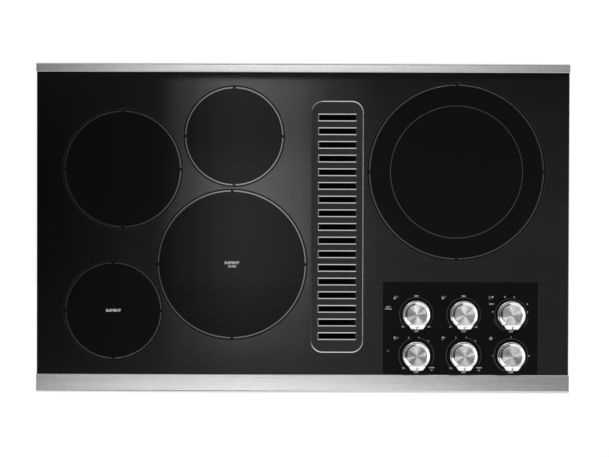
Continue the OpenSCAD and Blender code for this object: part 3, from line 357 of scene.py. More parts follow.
# Glass top: one black glass-ceramic plate. A screen print of fine metallic dots covers it outside the five
# plain burner rings and the plain control panel.
def box_of(node):
    """The node's lowest and highest corner, and the X and Y of its middle."""
    low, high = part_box(node)
    return low, high, (low.x + high.x) / 2, (low.y + high.y) / 2


deck_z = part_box("glass_top")[1].z
dish_wall = 0.0015
burners = {}
for name in burner_names:
    low, high, x, y = box_of(f"{name}_dish")
    burners[name] = (x, y, (high.x - low.x) / 2 + dish_wall)
panel_left, panel_right, panel_rear = 0.1378, 0.4060, -0.0918
dot_pitch = 0.0011
plain_margin = 0.004
soft = 0.0004
glass, place, vary = material_of("cooktop_glass", IOR=1.5)
across, along, up = place.parts()
plain = ((across - panel_left).ramp(-soft, soft) * (panel_right - across).ramp(-soft, soft)
         * (panel_rear - along).ramp(-soft, soft))
for x, y, ring in burners.values():
    distance = ((across - x) ** 2.0 + (along - y) ** 2.0) ** 0.5
    plain = plain.either(1 - (distance - (ring + plain_margin)).ramp(-soft, soft))
from_dot = place.scaled(1 / dot_pitch, 1 / dot_pitch, 0).cells(1.0, chaos=0.0)
dotted = (1 - plain) * (up - (deck_z - soft)).ramp(0, 0.0001)
dot = (1 - from_dot.ramp(0.30, 0.38)) * dotted
metal = (1 - from_dot.ramp(0.39, 0.41)) * dotted
smear = place.noise(3.5, detail=3)
vary(Base_Color=dot.mix((0.0064, 0.0064, 0.0067), (0.56, 0.56, 0.56)), Metallic=metal,
     Roughness=smear * 0.01 + 0.035)
dress(glass, "glass_top")


# Burner rings: thin rings printed on the glass in a metallic ink, each in four arcs with small gaps, and a
# whole thin ring for the right burner's small zone.
def start_edit(test=None, kind="VERT"):
    """Opens the active piece's mesh, with all of it selected or what passes the test."""
    bpy.ops.object.mode_set(mode="EDIT")
    bpy.ops.mesh.select_mode(type=kind)
    bpy.ops.mesh.select_all(action="SELECT")
    if test:
        pick(test, kind)


def pick(test, kind="FACE"):
    """Selects the edited mesh's faces, edges or vertices whose middle passes the test, and only them."""
    bpy.ops.mesh.select_all(action="DESELECT")
    bpy.ops.mesh.select_mode(type=kind)
    mesh = bmesh.from_edit_mesh(bpy.context.object.data)
    for item in {"FACE": mesh.faces, "EDGE": mesh.edges, "VERT": mesh.verts}[kind]:
        if kind == "VERT":
            middle = item.co
        elif kind == "EDGE":
            middle = (item.verts[0].co + item.verts[1].co) / 2
        else:
            middle = item.calc_center_median()
        if test(item, middle):
            item.select = True
    mesh.select_flush_mode()
    bmesh.update_edit_mesh(bpy.context.object.data)


def end_edit(outward=False):
    """Closes the mesh, and turns its faces outward first where asked."""
    if outward:
        bpy.ops.mesh.select_all(action="SELECT")
        bpy.ops.mesh.normals_make_consistent(inside=False)
    bpy.ops.object.mode_set(mode="OBJECT")


def add(kind, **size):
    """A new primitive of its own, alone in the selection."""
    bpy.ops.object.select_all(action="DESELECT")
    getattr(bpy.ops.mesh, f"primitive_{kind}_add")(**size)
    return bpy.context.object


def slice_at(point, across):
    """Cuts the whole edited mesh along a plane and keeps both sides."""
    bpy.ops.mesh.select_all(action="SELECT")
    bpy.ops.mesh.bisect(plane_co=point, plane_no=across)


def modify(piece, kind, **settings):
    """Adds a modifier and applies it."""
    bpy.context.view_layer.objects.active = piece
    added = piece.modifiers.new(kind.title(), kind)
    for name, value in settings.items():
        setattr(added, name, value)
    bpy.ops.object.modifier_apply(modifier=added.name)


def join(pieces):
    bpy.ops.object.select_all(action="DESELECT")
    for piece in pieces:
        piece.select_set(True)
    bpy.context.view_layer.objects.active = pieces[0]
    bpy.ops.object.join()
    return pieces[0]


def finish(piece, name, body, slot, *materials, smooth=None, stands_for=()):
    """Applies the piece's place, names it and hangs it on its body's empty."""
    bpy.ops.object.select_all(action="DESELECT")
    piece.select_set(True)
    bpy.context.view_layer.objects.active = piece
    bpy.ops.object.transform_apply(location=True, rotation=True, scale=True)
    piece.name = piece.data.name = name
    if materials:
        piece.data.materials.clear()
    for material in materials:
        piece.data.materials.append(material)
    if smooth:
        bpy.ops.object.shade_smooth_by_angle(angle=math.radians(smooth))
    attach(piece, body)
    if stands_for:
        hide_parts(*stands_for)


def printed(pieces):
    """Joins flat prints and gives them their ink's thickness, from the glass up."""
    piece = join(pieces)
    modify(piece, "SOLIDIFY", thickness=0.00006, offset=1)
    return piece


def ring_print(x, y, radius, width, gap=0.0, steps=180):
    """A flat ring, whole or with gaps to the north, east, south and west."""
    outer, inner = radius + width / 2, radius - width / 2
    ring = add("circle", vertices=steps, radius=outer, location=(x, y, ink_z))
    start_edit(kind="EDGE")
    bpy.ops.mesh.extrude_edges_move()
    bpy.ops.transform.resize(value=(inner / outer, inner / outer, 1))
    if gap:
        for edge in (-gap / 2, gap / 2):
            slice_at((x, y + edge, 0), (0, 1, 0))
            slice_at((x + edge, y, 0), (1, 0, 0))
        pick(lambda face, middle: min(abs(middle.x), abs(middle.y)) < gap / 2 - 0.0001)
        bpy.ops.mesh.delete(type="FACE")
    end_edit()
    return ring


ink_z = deck_z + 0.00002
small_zone_share = 0.76
lustre_ink = plain_finish("print_lustre", (700, 2), (0.54, 0.54, 0.55), (0.70, 0.70, 0.71), 0.06, 0.05,
                          Metallic=0.97)
rings = [ring_print(x, y, radius, 0.0022, gap=0.005) for x, y, radius in burners.values()]
right_x, right_y, right_ring = burners["right"]
rings.append(ring_print(right_x, right_y, right_ring * small_zone_share, 0.0013))
finish(printed(rings), "burner_rings_print", "cooktop", "cooktop_glass", lustre_ink)


# Dials: printed round each knob, the words in a pale ink and the arcs in a dim one. Tapered arcs show how far
# the heat is turned up, with plain words and numbers, and a small plan of the five burners marks the knob's
# own. Two of the burners have a plain word or size at their middle.
def label(text, x, y, size):
    """Flat bold lettering on the glass."""
    bpy.ops.object.select_all(action="DESELECT")
    bpy.ops.object.text_add(location=(0, 0, 0))
    words = bpy.context.object
    words.data.body = text
    words.data.align_x, words.data.align_y = "CENTER", "CENTER"
    words.data.size = size
    words.data.offset = size * 0.03
    words.data.resolution_u = 3
    bpy.ops.object.convert(target="MESH")
    words.location = (x, y, ink_z)
    return words


def arc(x, y, radius, start, stop, wide, narrow):
    """A tapered arc round a dial, by the clock from start to stop, in degrees clockwise from twelve."""
    steps = max(8, int(abs(stop - start) / 4))
    strip = add("circle", vertices=4, radius=0.001, location=(x, y, ink_z))
    start_edit()
    bpy.ops.mesh.delete(type="VERT")
    mesh = bmesh.from_edit_mesh(strip.data)
    rows = []
    for step in range(steps + 1):
        share = step / steps
        turn = math.radians(start + (stop - start) * share)
        half = (wide + (narrow - wide) * share) / 2
        toward = Vector((math.sin(turn), math.cos(turn), 0))
        rows.append([mesh.verts.new(toward * (radius + side * half)) for side in (-1, 1)])
    for (a, b), (c, d) in zip(rows, rows[1:]):
        mesh.faces.new((a, b, d, c))
    bmesh.update_edit_mesh(strip.data)
    end_edit(outward=True)
    return strip


pale_ink = plain_finish("print_grey", (700, 2), (0.78, 0.78, 0.79), (0.88, 0.88, 0.89), 0.4, 0.1)
dim_ink = plain_finish("print_dim", (700, 2), (0.07, 0.07, 0.07), (0.11, 0.11, 0.11), 0.45, 0.1)
spindle_at = {n: box_of(f"spindle_{n}")[2:] for n in range(1, 7)}

# Each mark is its text and its place from the spindle. Each arc is its radius, start, stop and two widths.
off_size, mark_size, low_size = 0.0046, 0.0038, 0.00304
off_mark = [("OFF", 0, -0.0292)]
single_marks = [("MED", 0, 0.0313), ("HI", -0.0232, -0.0215), ("LO", 0.0215, -0.0215)]
double_marks = [("8", -0.0106, 0.0303), ("6", 0.0053, 0.0303), ("4", 0.0280, 0.0180), ("2", 0.0285, 0.0042),
                ("MAX", -0.0335, 0.0180), ("9", -0.0315, 0.0046)]
melt_marks = [("6", -0.0134, 0.0306), ("4", 0.0042, 0.0306), ("3", 0.0207, 0.0247), ("HI", -0.0222, -0.0223)]
low_marks = [("WARM", 0.0265, -0.0215), ("LO", 0.0265, -0.0258)]
fan_marks = [("2", 0, 0.0313), ("1", -0.0312, -0.0005), ("3", 0.0312, -0.0005)]
single_arcs = [(0.0290, -140, 132, 0.0010, 0.0005)]
double_arcs = [(0.0274, -118, 112, 0.0008, 0.0005), (0.0302, -105, -158, 0.0012, 0.0006),
               (0.0274, -120, -165, 0.0008, 0.0006), (0.0302, 103, 134, 0.0010, 0.0006)]
melt_arcs = [(0.0302, -145, -17, 0.0010, 0.0007), (0.0302, 8, 122, 0.0010, 0.0006)]
fan_arcs = [(0.0290, -160, 130, 0.0012, 0.0005)]
dials = [(single_marks, [], single_arcs), (single_marks, [], single_arcs), (double_marks, [], double_arcs),
         (melt_marks, low_marks, melt_arcs), (melt_marks, low_marks, melt_arcs), (fan_marks, [], fan_arcs)]
words, prints = [], []
for (x, y), (marks, small_marks, arcs) in zip(spindle_at.values(), dials):
    for size, group in ((off_size, off_mark), (mark_size, marks), (low_size, small_marks)):
        words += [label(text, x + dx, y + dy, size) for text, dx, dy in group]
    prints += [arc(x, y, *shape) for shape in arcs]

plan_from_knob = Vector((-0.0345, 0.0292))
plan_spots = [(-0.0030, 0.0012), (-0.0008, 0.0018), (-0.0008, -0.0014), (-0.0032, -0.0018), (0.0026, 0.0010)]
burner_of_knob = ["front_left", "front_middle", "right", "rear_left", "rear_middle"]
spot_r, open_spot_r, open_spot_line = 0.0014, 0.000765, 0.00027
for n, burner in enumerate(burner_of_knob, 1):
    for name, spot in zip(burner_names, plan_spots):
        x, y = Vector(spindle_at[n]) + plan_from_knob + Vector(spot)
        if name == burner:
            words.append(add("circle", vertices=20, radius=spot_r, fill_type="NGON", location=(x, y, ink_z)))
        else:
            words.append(ring_print(x, y, open_spot_r, open_spot_line, steps=20))
x, y = Vector(spindle_at[6]) + plan_from_knob
for blade in range(4):
    vane = add("circle", vertices=16, radius=0.0013, fill_type="NGON", location=(0, 0, 0))
    vane.data.transform(Matrix.Rotation(blade * math.pi / 2, 4, "Z") @ Matrix.Translation((0.0018, 0.0006, 0))
                        @ Matrix.Diagonal((1, 0.62, 1, 1)))
    vane.location = (x, y, ink_z)
    words.append(vane)
ring_marks = [("front_middle", "ELEMENT", 0.0026, 0.0062), ("front_middle", "10 IN", -0.0036, 0.0060),
              ("front_left", "ELEMENT", 0, 0.0062)]
for name, text, above, size in ring_marks:
    x, y, _ = burners[name]
    words.append(label(text, x, y + above, size))
lamp_low, lamp_high, lamp_x, _ = box_of("indicator_lamps")
words.append(label("HOT", lamp_x, lamp_high.y + 0.0062, 0.0034))
words.append(label("SURFACE", lamp_x, lamp_high.y + 0.0026, 0.0028))
prints.append(ring_print(lamp_x, lamp_low.y + 0.0128, 0.0016, 0.0012))
finish(printed(prints), "dial_print", "cooktop", "cooktop_glass", dim_ink)
finish(printed(words), "dial_words", "cooktop", "cooktop_glass", pale_ink)


# Trims: stainless strips along the front and rear, brushed along their length and rolled over at the edge.
brushed, place, vary = material_of("trim_steel", Metallic=1.0)
brush = place.scaled(9, 1800, 1800).noise(1.0, detail=2)
long_brush = place.scaled(2, 420, 420).noise(1.0, detail=3)
cloud = place.noise(6, detail=2)
vary(Base_Color=(brush * 0.5 + long_brush * 0.5).mix((0.63, 0.63, 0.63), (0.84, 0.84, 0.835)),
     Roughness=brush * 0.10 + cloud * 0.05 + 0.14,
     Bump=(brush * 0.6 + long_brush * 0.4, 0.0004, 0.12))
dress(brushed, "front_trim", "rear_trim")


# Vent grille: a cast plate in satin black enamel with seventeen slots. Its outer edge and the slots' edges
# are ground through the enamel and polished, and a skirt below it sits in the glass's opening.
def block(kind, wide, long, tall, middle, **divisions):
    """A primitive stretched to its size, with its place in its mesh."""
    piece = add(kind, size=1, location=middle, **divisions)
    piece.scale = (wide, long, tall)
    bpy.ops.object.transform_apply(location=True, rotation=False, scale=True)
    return piece


def pull_up(height):
    """Extrudes what is selected along Z."""
    bpy.ops.mesh.extrude_region_move(TRANSFORM_OT_translate={"value": (0, 0, height)})


def is_rim(edge):
    """Whether the edge lies between a face that looks up and one that looks aside."""
    looks = [face.normal.z for face in edge.link_faces]
    return any(z > 0.5 for z in looks) and any(abs(z) < 0.5 for z in looks)


enamel = plain_finish("black_enamel", (420, 2), (0.008, 0.008, 0.009), (0.015, 0.015, 0.016), 0.42, 0.1,
                      bump=(0.0003, 0.2))
polished = plain_finish("polished_edge", (300, 3), (0.62, 0.62, 0.61), (0.78, 0.78, 0.77), 0.12, 0.12,
                        Metallic=1.0)
grille_low, grille_high, grille_x, grille_y = box_of("vent_grille")
grille_wide, grille_long = grille_high.x - grille_low.x, grille_high.y - grille_low.y
slots, slot_pitch, slot_long, slot_wide = 17, 0.0235, 0.0635, 0.010
plate_thick, plate_round, slot_edge, edge_slope = 0.0032, 0.020, 0.0016, 0.58
slot_rows = [grille_y + (i - (slots - 1) / 2) * slot_pitch for i in range(slots)]
grille = block("plane", grille_wide, grille_long, 1, (grille_x, grille_y, deck_z))
start_edit()
bpy.ops.mesh.bevel(offset=plate_round, segments=14, affect="VERTICES")
for row in slot_rows:
    for side in (-1, 1):
        slice_at((0, row + side * slot_wide / 2, 0), (0, 1, 0))
for side in (-1, 1):
    slice_at((grille_x + side * slot_long / 2, 0, 0), (1, 0, 0))
pick(lambda face, middle: abs(middle.x - grille_x) < slot_long / 2 - 0.001
     and any(abs(middle.y - row) < 0.001 for row in slot_rows))
bpy.ops.mesh.delete(type="FACE")
bpy.ops.mesh.select_all(action="SELECT")
pull_up(plate_thick / edge_slope)
end_edit(outward=True)
grille.data.materials.append(enamel)
grille.data.materials.append(polished)
start_edit(lambda edge, middle: is_rim(edge) and middle.z > deck_z + 0.0001, "EDGE")
bpy.ops.mesh.bevel(offset=slot_edge, segments=1, clamp_overlap=False, material=1)
bpy.ops.mesh.select_all(action="SELECT")
bpy.ops.transform.resize(value=(1, 1, edge_slope), center_override=(grille_x, grille_y, deck_z))
end_edit()
skirt_less, skirt_round, skirt_thick = 0.014, 0.013, 0.002
skirt = block("plane", grille_wide - skirt_less, grille_long - skirt_less, 1, (grille_x, grille_y, deck_z))
start_edit()
bpy.ops.mesh.bevel(offset=skirt_round, segments=8, affect="VERTICES")
bpy.ops.mesh.select_mode(type="FACE")
bpy.ops.mesh.select_all(action="SELECT")
bpy.ops.mesh.inset(thickness=skirt_thick)
bpy.ops.mesh.delete(type="FACE")
bpy.ops.mesh.select_all(action="SELECT")
pull_up(grille_low.z - deck_z)
end_edit(outward=True)
skirt.data.materials.append(enamel)
finish(join([grille, skirt]), "grille_plate", "grille", "black_enamel", smooth=20, stands_for=["vent_grille"])


# Knobs: each is turned from solid metal. A polished bezel runs round a spun face, a short polished pointer
# stands out at the front with a dark tick on it, and a thin foot flange hides the spindle's hole.
def turned(profile, x, y, z, steps):
    """Spins a profile of radii and heights round an upright axis."""
    solid = add("circle", vertices=3, radius=0.001, location=(x, y, z))
    start_edit()
    bpy.ops.mesh.delete(type="VERT")
    mesh = bmesh.from_edit_mesh(solid.data)
    chain = [mesh.verts.new((radius, 0, height)) for radius, height in profile]
    for a, b in zip(chain, chain[1:]):
        mesh.edges.new((a, b))
    bmesh.update_edit_mesh(solid.data)
    bpy.ops.mesh.select_all(action="SELECT")
    bpy.ops.mesh.spin(steps=steps, angle=2 * math.pi, center=(x, y, z), axis=(0, 0, 1))
    bpy.ops.mesh.select_all(action="SELECT")
    bpy.ops.mesh.remove_doubles(threshold=0.000002)
    end_edit(outward=True)
    bpy.ops.object.transform_apply(location=True, rotation=False, scale=False)
    return solid


def bend(x, z, wide, tall, turns):
    """A profile's points round the middle (x, z), at turns in degrees from straight up."""
    return [(x + wide * math.sin(turn), z + tall * math.cos(turn)) for turn in map(math.radians, turns)]


def copies_at(piece, places):
    """The piece and its copies, each with a mesh of its own, one at each place."""
    pieces = [piece]
    for _ in places[1:]:
        copy = piece.copy()
        copy.data = piece.data.copy()
        bpy.context.collection.objects.link(copy)
        pieces.append(copy)
    for each, place in zip(pieces, places):
        each.matrix_world = place
    return pieces


polish = plain_finish("knob_polish", (400, 3), (0.78, 0.78, 0.775), (0.86, 0.86, 0.855), 0.08, 0.08,
                      Metallic=1.0)
spun = plain_finish("knob_spun", (900, 2), (0.54, 0.54, 0.53), (0.66, 0.66, 0.65), 0.16, 0.08, Metallic=1.0)
tick_ink = plain_finish("tick_dark", (900, 2), (0.07, 0.012, 0.010), (0.12, 0.02, 0.016), 0.4, 0.2)

knob_low, knob_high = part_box("knob_1")
knob_x, knob_y = spindle_at[1]
knob_tall, face_r, body_r, foot_r = knob_high.z - knob_low.z, 0.0166, 0.0224, 0.0233
face_z, groove_pitch, groove_deep = knob_tall - 0.0005, 0.0008, 0.00008
outer_slope, inner_slope, outer_round, inner_round, bezel_steps = 42, 32.5, 0.0014, 0.0008, 6
outer_sine, outer_cosine = math.sin(math.radians(outer_slope)), math.cos(math.radians(outer_slope))
inner_edge = bend(face_r + 0.0002, knob_tall - inner_round, inner_round, inner_round,
                  [inner_slope * (3 - step) / 3 for step in range(4)])
bezel = inner_edge[:1]
run = (body_r - outer_round * (1 - outer_sine) - bezel[0][0]) / bezel_steps
for step in range(bezel_steps):
    tilt = math.radians(inner_slope + (outer_slope - inner_slope) * (step + 0.5) / bezel_steps)
    bezel.append((bezel[-1][0] + run, bezel[-1][1] - run * math.tan(tilt)))
bezel += bend(body_r - outer_round, bezel[-1][1] - outer_round * outer_cosine, outer_round, outer_round,
              [outer_slope + (90 - outer_slope) * step / 5 for step in range(1, 6)])
profile = [(0, 0.0140), (0.0188, 0.0140), (0.0202, 0.0130), (0.0204, 0.0006), (0.0209, 0),
           (foot_r - 0.0004, 0), (foot_r, 0.0004), (foot_r, 0.0024), (foot_r - 0.0004, 0.0028),
           (body_r + 0.0001, 0.0029), (body_r - 0.0002, 0.0033), (body_r, 0.0038), *reversed(bezel),
           *inner_edge[1:], (face_r, face_z)]
grooves = int((face_r - 0.0004) / groove_pitch)
for step in range(1, grooves * 2 + 1):
    profile.append((face_r - step * groove_pitch / 2, face_z - groove_deep * (step % 2)))
profile.append((0, face_z))
knob = turned(profile, knob_x, knob_y, knob_low.z, 72)

pointer_reach, pointer_wide, nose_share, nose_drop = 0.025, 0.0300, 0.68, 0.0056
tick_wide, tick_from = 0.0013, 0.0192
front_y, nose_y = knob_y - face_r - 0.001, knob_y - pointer_reach + 0.0005
start_edit()
for cut_at, across in ((-tick_wide / 2, (1, 0, 0)), (tick_wide / 2, (1, 0, 0)), (-tick_from, (0, 1, 0))):
    pick(lambda face, middle: abs(middle.x - knob_x) < 0.004 and middle.y < front_y
         and middle.z > knob_low.z + knob_tall / 2)
    bpy.ops.mesh.bisect(plane_co=(knob_x + cut_at, knob_y + cut_at, 0), plane_no=across)
end_edit()
pointer = block("cube", pointer_wide, pointer_reach - face_r, knob_tall - 0.0026,
                (knob_x, knob_y - (face_r + pointer_reach) / 2, knob_low.z + knob_tall / 2 + 0.001))
start_edit(lambda vert, middle: middle.y < nose_y)
bpy.ops.transform.resize(value=(nose_share, 1, 1), center_override=(knob_x, knob_y, 0))
pick(lambda vert, middle: middle.y < nose_y and middle.z > knob_low.z + 0.01, "VERT")
bpy.ops.transform.translate(value=(0, 0, -nose_drop))
pick(lambda edge, middle: middle.y < nose_y and abs(middle.x - knob_x) > pointer_wide * 0.3, "EDGE")
bpy.ops.mesh.bevel(offset=0.0028, segments=5)
pick(lambda edge, middle: is_rim(edge) and middle.y < front_y, "EDGE")
bpy.ops.mesh.bevel(offset=0.0007, segments=3)
for side in (-1, 1):
    slice_at((knob_x + side * tick_wide / 2, 0, 0), (1, 0, 0))
slice_at((0, knob_y - tick_from, 0), (0, 1, 0))
end_edit()
for part in (knob, pointer):
    for material in (polish, spun, tick_ink):
        part.data.materials.append(material)
    for face in part.data.polygons:
        x, y, z = face.center
        if abs(x - knob_x) < tick_wide / 2 and face.normal.z > 0.2 and y < knob_y - tick_from:
            face.material_index = 2
        elif z > knob_low.z + face_z - 0.0001 and math.dist((x, y), (knob_x, knob_y)) < face_r:
            face.material_index = 1
knobs = copies_at(join([pointer, knob]), [Matrix.Translation((x - knob_x, y - knob_y, 0))
                                          for x, y in spindle_at.values()])
for n, piece in enumerate(knobs, 1):
    finish(piece, f"knob_{n}_metal", f"control_{n}", "knob_metal", smooth=18, stands_for=[f"knob_{n}"])


# Box walls: stiffening beads are pressed into the front, the rear and the floor, and the end walls' tabs lap
# round the corners, where they are spot-welded.
def facing(middle, out, along):
    """The place of a flat form on a wall: its X lies along the wall and its Z points out of it."""
    out, along = Vector(out), Vector(along)
    return Matrix.Translation(middle) @ Matrix((along, out.cross(along), out)).transposed().to_4x4()


def disc(sides, radius):
    """A flat disc on Z = 0, open for editing and selected all over."""
    piece = add("circle", vertices=sides, radius=radius, fill_type="NGON", location=(0, 0, 0))
    start_edit()
    return piece


def pressed_bead(middle, out, along, long, wide=0.014, proud=0.0026):
    """A long round-ended swelling of the sheet."""
    bead = disc(24, wide / 2)
    for side in (-1, 1):
        pick(lambda vert, middle: middle.x * side > 0.00001, "VERT")
        bpy.ops.transform.translate(value=(side * (long - wide) / 2, 0, 0))
    bpy.ops.mesh.select_all(action="SELECT")
    pull_up(0.0004)
    for share, rise in ((0.12, 0.45), (0.14, 0.38), (0.12, 0.17)):
        bpy.ops.mesh.inset(thickness=wide * share, depth=proud * rise)
    end_edit(outward=True)
    bead.matrix_world = facing(middle, out, along)
    return bead


def lapped_strip(long, wide, thick, *place):
    """A narrow strip of sheet with its edges broken, for a place on a wall, where it is given."""
    strip = block("cube", long, wide, thick, (0, 0, thick / 2))
    start_edit(lambda edge, middle: middle.z > thick * 0.9, "EDGE")
    bpy.ops.mesh.bevel(offset=thick * 0.4, segments=2)
    end_edit()
    if place:
        strip.matrix_world = facing(*place)
    return strip


def welded_tab(x, y, z, out, long, wide, thick, weld_heights):
    """An upright strip on a front or rear wall, with a row of the dished rings that a welding tip leaves."""
    weld = disc(12, 0.0028)
    pull_up(0.0004)
    bpy.ops.mesh.inset(thickness=0.0007, depth=0.0001)
    bpy.ops.mesh.inset(thickness=0.0006, depth=-0.0004)
    end_edit(outward=True)
    spots = [facing((x, y + out * thick, height), (0, out, 0), (1, 0, 0)) for height in weld_heights]
    return [lapped_strip(long, wide, thick, (x, y, z), (0, out, 0), (0, 0, 1)), *copies_at(weld, spots)]


box_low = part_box("burner_box")[0]
wall_x, wall_y = 0.435, 0.2525
beads, tabs = [], []
for out in (-1, 1):
    for x in (-0.255, 0.285):
        for z in (-0.030, -0.062):
            beads.append(pressed_bead((x, out * wall_y, z), (0, out, 0), (1, 0, 0), 0.25))
    for y in (-0.135, 0.135):
        beads.append(pressed_bead((out * wall_x, y, -0.062), (out, 0, 0), (0, 1, 0), 0.17))
for x, long, rows in ((-0.215, 0.36, (-0.19, -0.13, 0.13, 0.19)), (0.275, 0.25, (-0.06, 0.0, 0.06))):
    for y in rows:
        beads.append(pressed_bead((x, y, box_low.z), (0, 0, -1), (1, 0, 0), long, wide=0.018, proud=0.003))
finish(join(beads), "box_beads", "cooktop", "zinc_sheet", zinc, smooth=40)
for out in (-1, 1):
    for side in (-1, 1):
        tabs += welded_tab(side * (wall_x - 0.010), out * wall_y, -0.0465, out, 0.088, 0.018, 0.0012,
                           (-0.016, -0.036, -0.056, -0.076))
finish(join(tabs), "box_corner_tabs", "cooktop", "zinc_sheet", zinc, smooth=40)


# Plenum: beads stiffen its long walls, and lock seams close its four corners.
plenum_low, plenum_high, duct_x, duct_y = box_of("plenum_box")
flange_wide = 0.014
duct_left, duct_right = plenum_low.x + flange_wide, plenum_high.x - flange_wide
duct_front, duct_rear = plenum_low.y + flange_wide, plenum_high.y - flange_wide
plenum_under = plenum_low.z + 0.013
beads, seams = [], []
for z in (-0.150, -0.205, -0.260):
    beads.append(pressed_bead((duct_right, duct_y, z), (1, 0, 0), (0, 1, 0), 0.36, wide=0.018, proud=0.003))
    for out, y in ((-1, duct_front), (1, duct_rear)):
        beads.append(pressed_bead((duct_x, y, z), (0, out, 0), (1, 0, 0), 0.068, wide=0.016))
beads.append(pressed_bead((duct_x, duct_y + 0.06, plenum_under), (0, 0, -1), (0, 1, 0), 0.24, wide=0.018,
                          proud=0.003))
finish(join(beads), "plenum_beads", "cooktop", "zinc_sheet", zinc, smooth=40)
seam_top, seam_foot, seam_welds = plenum_high.z - 0.002, plenum_under + 0.001, 7
for x in (duct_left + 0.005, duct_right - 0.005):
    for out, y in ((-1, duct_front), (1, duct_rear)):
        seams += welded_tab(x, y, (seam_top + seam_foot) / 2, out, seam_top - seam_foot, 0.009, 0.0022,
                            [seam_foot + (seam_top - seam_foot) * (step + 0.5) / seam_welds
                             for step in range(seam_welds)])
finish(join(seams), "plenum_seams", "cooktop", "zinc_sheet", zinc, smooth=40)


# Duct collar: a rolled bead stops the duct's clamp, the lower end is crimped to slip into the duct, and a
# lapped seam runs down the back. The adapter's corners are folded tabs with spot welds.
collar_low, _, collar_x, collar_y = box_of("duct_collar")
collar_r, adapter_half, adapter_under, crimps = 0.076, 0.081, -0.420, 56
bead_at = (collar_x, collar_y, adapter_under - 0.014)
bead = add("torus", major_radius=collar_r, minor_radius=0.0026, major_segments=72, minor_segments=10,
           location=bead_at)
start_edit(lambda vert, middle: math.hypot(middle.x, middle.y) < collar_r - 0.0001)
bpy.ops.transform.resize(value=(1, 1, 0.5), center_override=bead_at)
end_edit()
crimp = disc(8, 0.0016)
pull_up(0.0175)
bpy.ops.mesh.inset(thickness=0.0007, depth=0.0012)
end_edit(outward=True)
crimp_r = collar_r - 0.0006
turns = [n * 2 * math.pi / crimps for n in range(crimps)]
parts = [bead, *copies_at(crimp, [Matrix.Translation(
    (collar_x + crimp_r * math.cos(turn), collar_y + crimp_r * math.sin(turn), collar_low.z + 0.0005))
    for turn in turns])]
seam_at = (collar_x, collar_y + collar_r - 0.0004, (adapter_under + collar_low.z) / 2 + 0.002)
parts.append(lapped_strip(0.038, 0.010, 0.0016, seam_at, (0, 1, 0), (0, 0, 1)))
for side in (-1, 1):
    for out in (-1, 1):
        parts += welded_tab(collar_x + side * (adapter_half - 0.008), collar_y + out * adapter_half,
                            adapter_under + 0.019, out, 0.034, 0.014, 0.0012,
                            (adapter_under + 0.011, adapter_under + 0.027))
finish(join(parts), "duct_collar_beads", "cooktop", "zinc_sheet", zinc, smooth=40)


# Motor: a cast housing with a grey baked finish and cooling ribs along its body. Four through bolts with
# hexagon nuts hold its end bells.
def stub(sides, radius, tall, edge, segments=2, both_ends=False, foot=(0, 0, 0)):
    """An upright prism or cylinder on its foot, with its top edge rounded, or the edges of both its ends."""
    middle_z = foot[2] + tall / 2
    piece = add("cylinder", vertices=sides, radius=radius, depth=tall, location=(foot[0], foot[1], middle_z))
    bpy.ops.object.transform_apply(location=True, rotation=False, scale=False)
    start_edit(lambda edge, middle: middle.z > middle_z + tall * 0.4
               or both_ends and middle.z < middle_z - tall * 0.4, "EDGE")
    bpy.ops.mesh.bevel(offset=edge, segments=segments)
    end_edit()
    return piece


casting = plain_finish("motor_casting", (20, 4), (0.15, 0.155, 0.16), (0.26, 0.265, 0.27), 0.42, 0.15,
                       bump=(0.0004, 0.35, 500, 3), Metallic=0.7)
dress(casting, "blower_motor")

motor_low, motor_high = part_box("blower_motor")
motor_y, motor_z = (motor_low.y + motor_high.y) / 2, (motor_low.z + motor_high.z) / 2
motor_r = (motor_high.z - motor_low.z) / 2
body_from, body_to, bell_end = -0.1616, -0.1180, -0.1788
rib_turns = [n * 12 + 6 for n in range(30) if abs(n * 12 + 6 - 90) > 14]
rib_places = []
for turn in map(math.radians, rib_turns):
    out = (0, math.cos(turn), math.sin(turn))
    middle = Vector(((body_from + body_to) / 2, motor_y, motor_z)) + Vector(out) * (motor_r - 0.0005)
    rib_places.append(facing(middle, out, (1, 0, 0)))
rib = lapped_strip(body_to - body_from - 0.002, 0.0028, 0.0024)
finish(join(copies_at(rib, rib_places)), "motor_ribs", "cooktop", "motor_casting", casting, smooth=40)

bolt_r = motor_r - 0.010
nut = join([stub(6, 0.0042, 0.0040, 0.0006, both_ends=True), stub(12, 0.0021, 0.0075, 0.0006)])
nut_places = []
for turn in (math.radians(n * 90 + 45) for n in range(4)):
    middle = (bell_end + 0.0002, motor_y + bolt_r * math.cos(turn), motor_z + bolt_r * math.sin(turn))
    nut_places.append(facing(middle, (-1, 0, 0), (0, 1, 0)))
finish(join(copies_at(nut, nut_places)), "motor_bolts", "cooktop", "plated_steel", plated, smooth=30)


# Fastening screws: zinc-plated pan heads with a cross recess, under the plenum's flange and round the
# blower's cover. Their points show inside the box and the housing.
def screw_boxes(node, reach=0.016):
    """The lowest and highest corner of each screw of the node. Corners within reach belong to one screw."""
    groups = []
    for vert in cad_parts[node].data.vertices:
        near = next((group for group in groups if (group[0] - vert.co).length < reach), None)
        if near:
            near.append(vert.co.copy())
        else:
            groups.append([vert.co.copy()])
    return [(Vector(map(min, *group)), Vector(map(max, *group))) for group in groups]


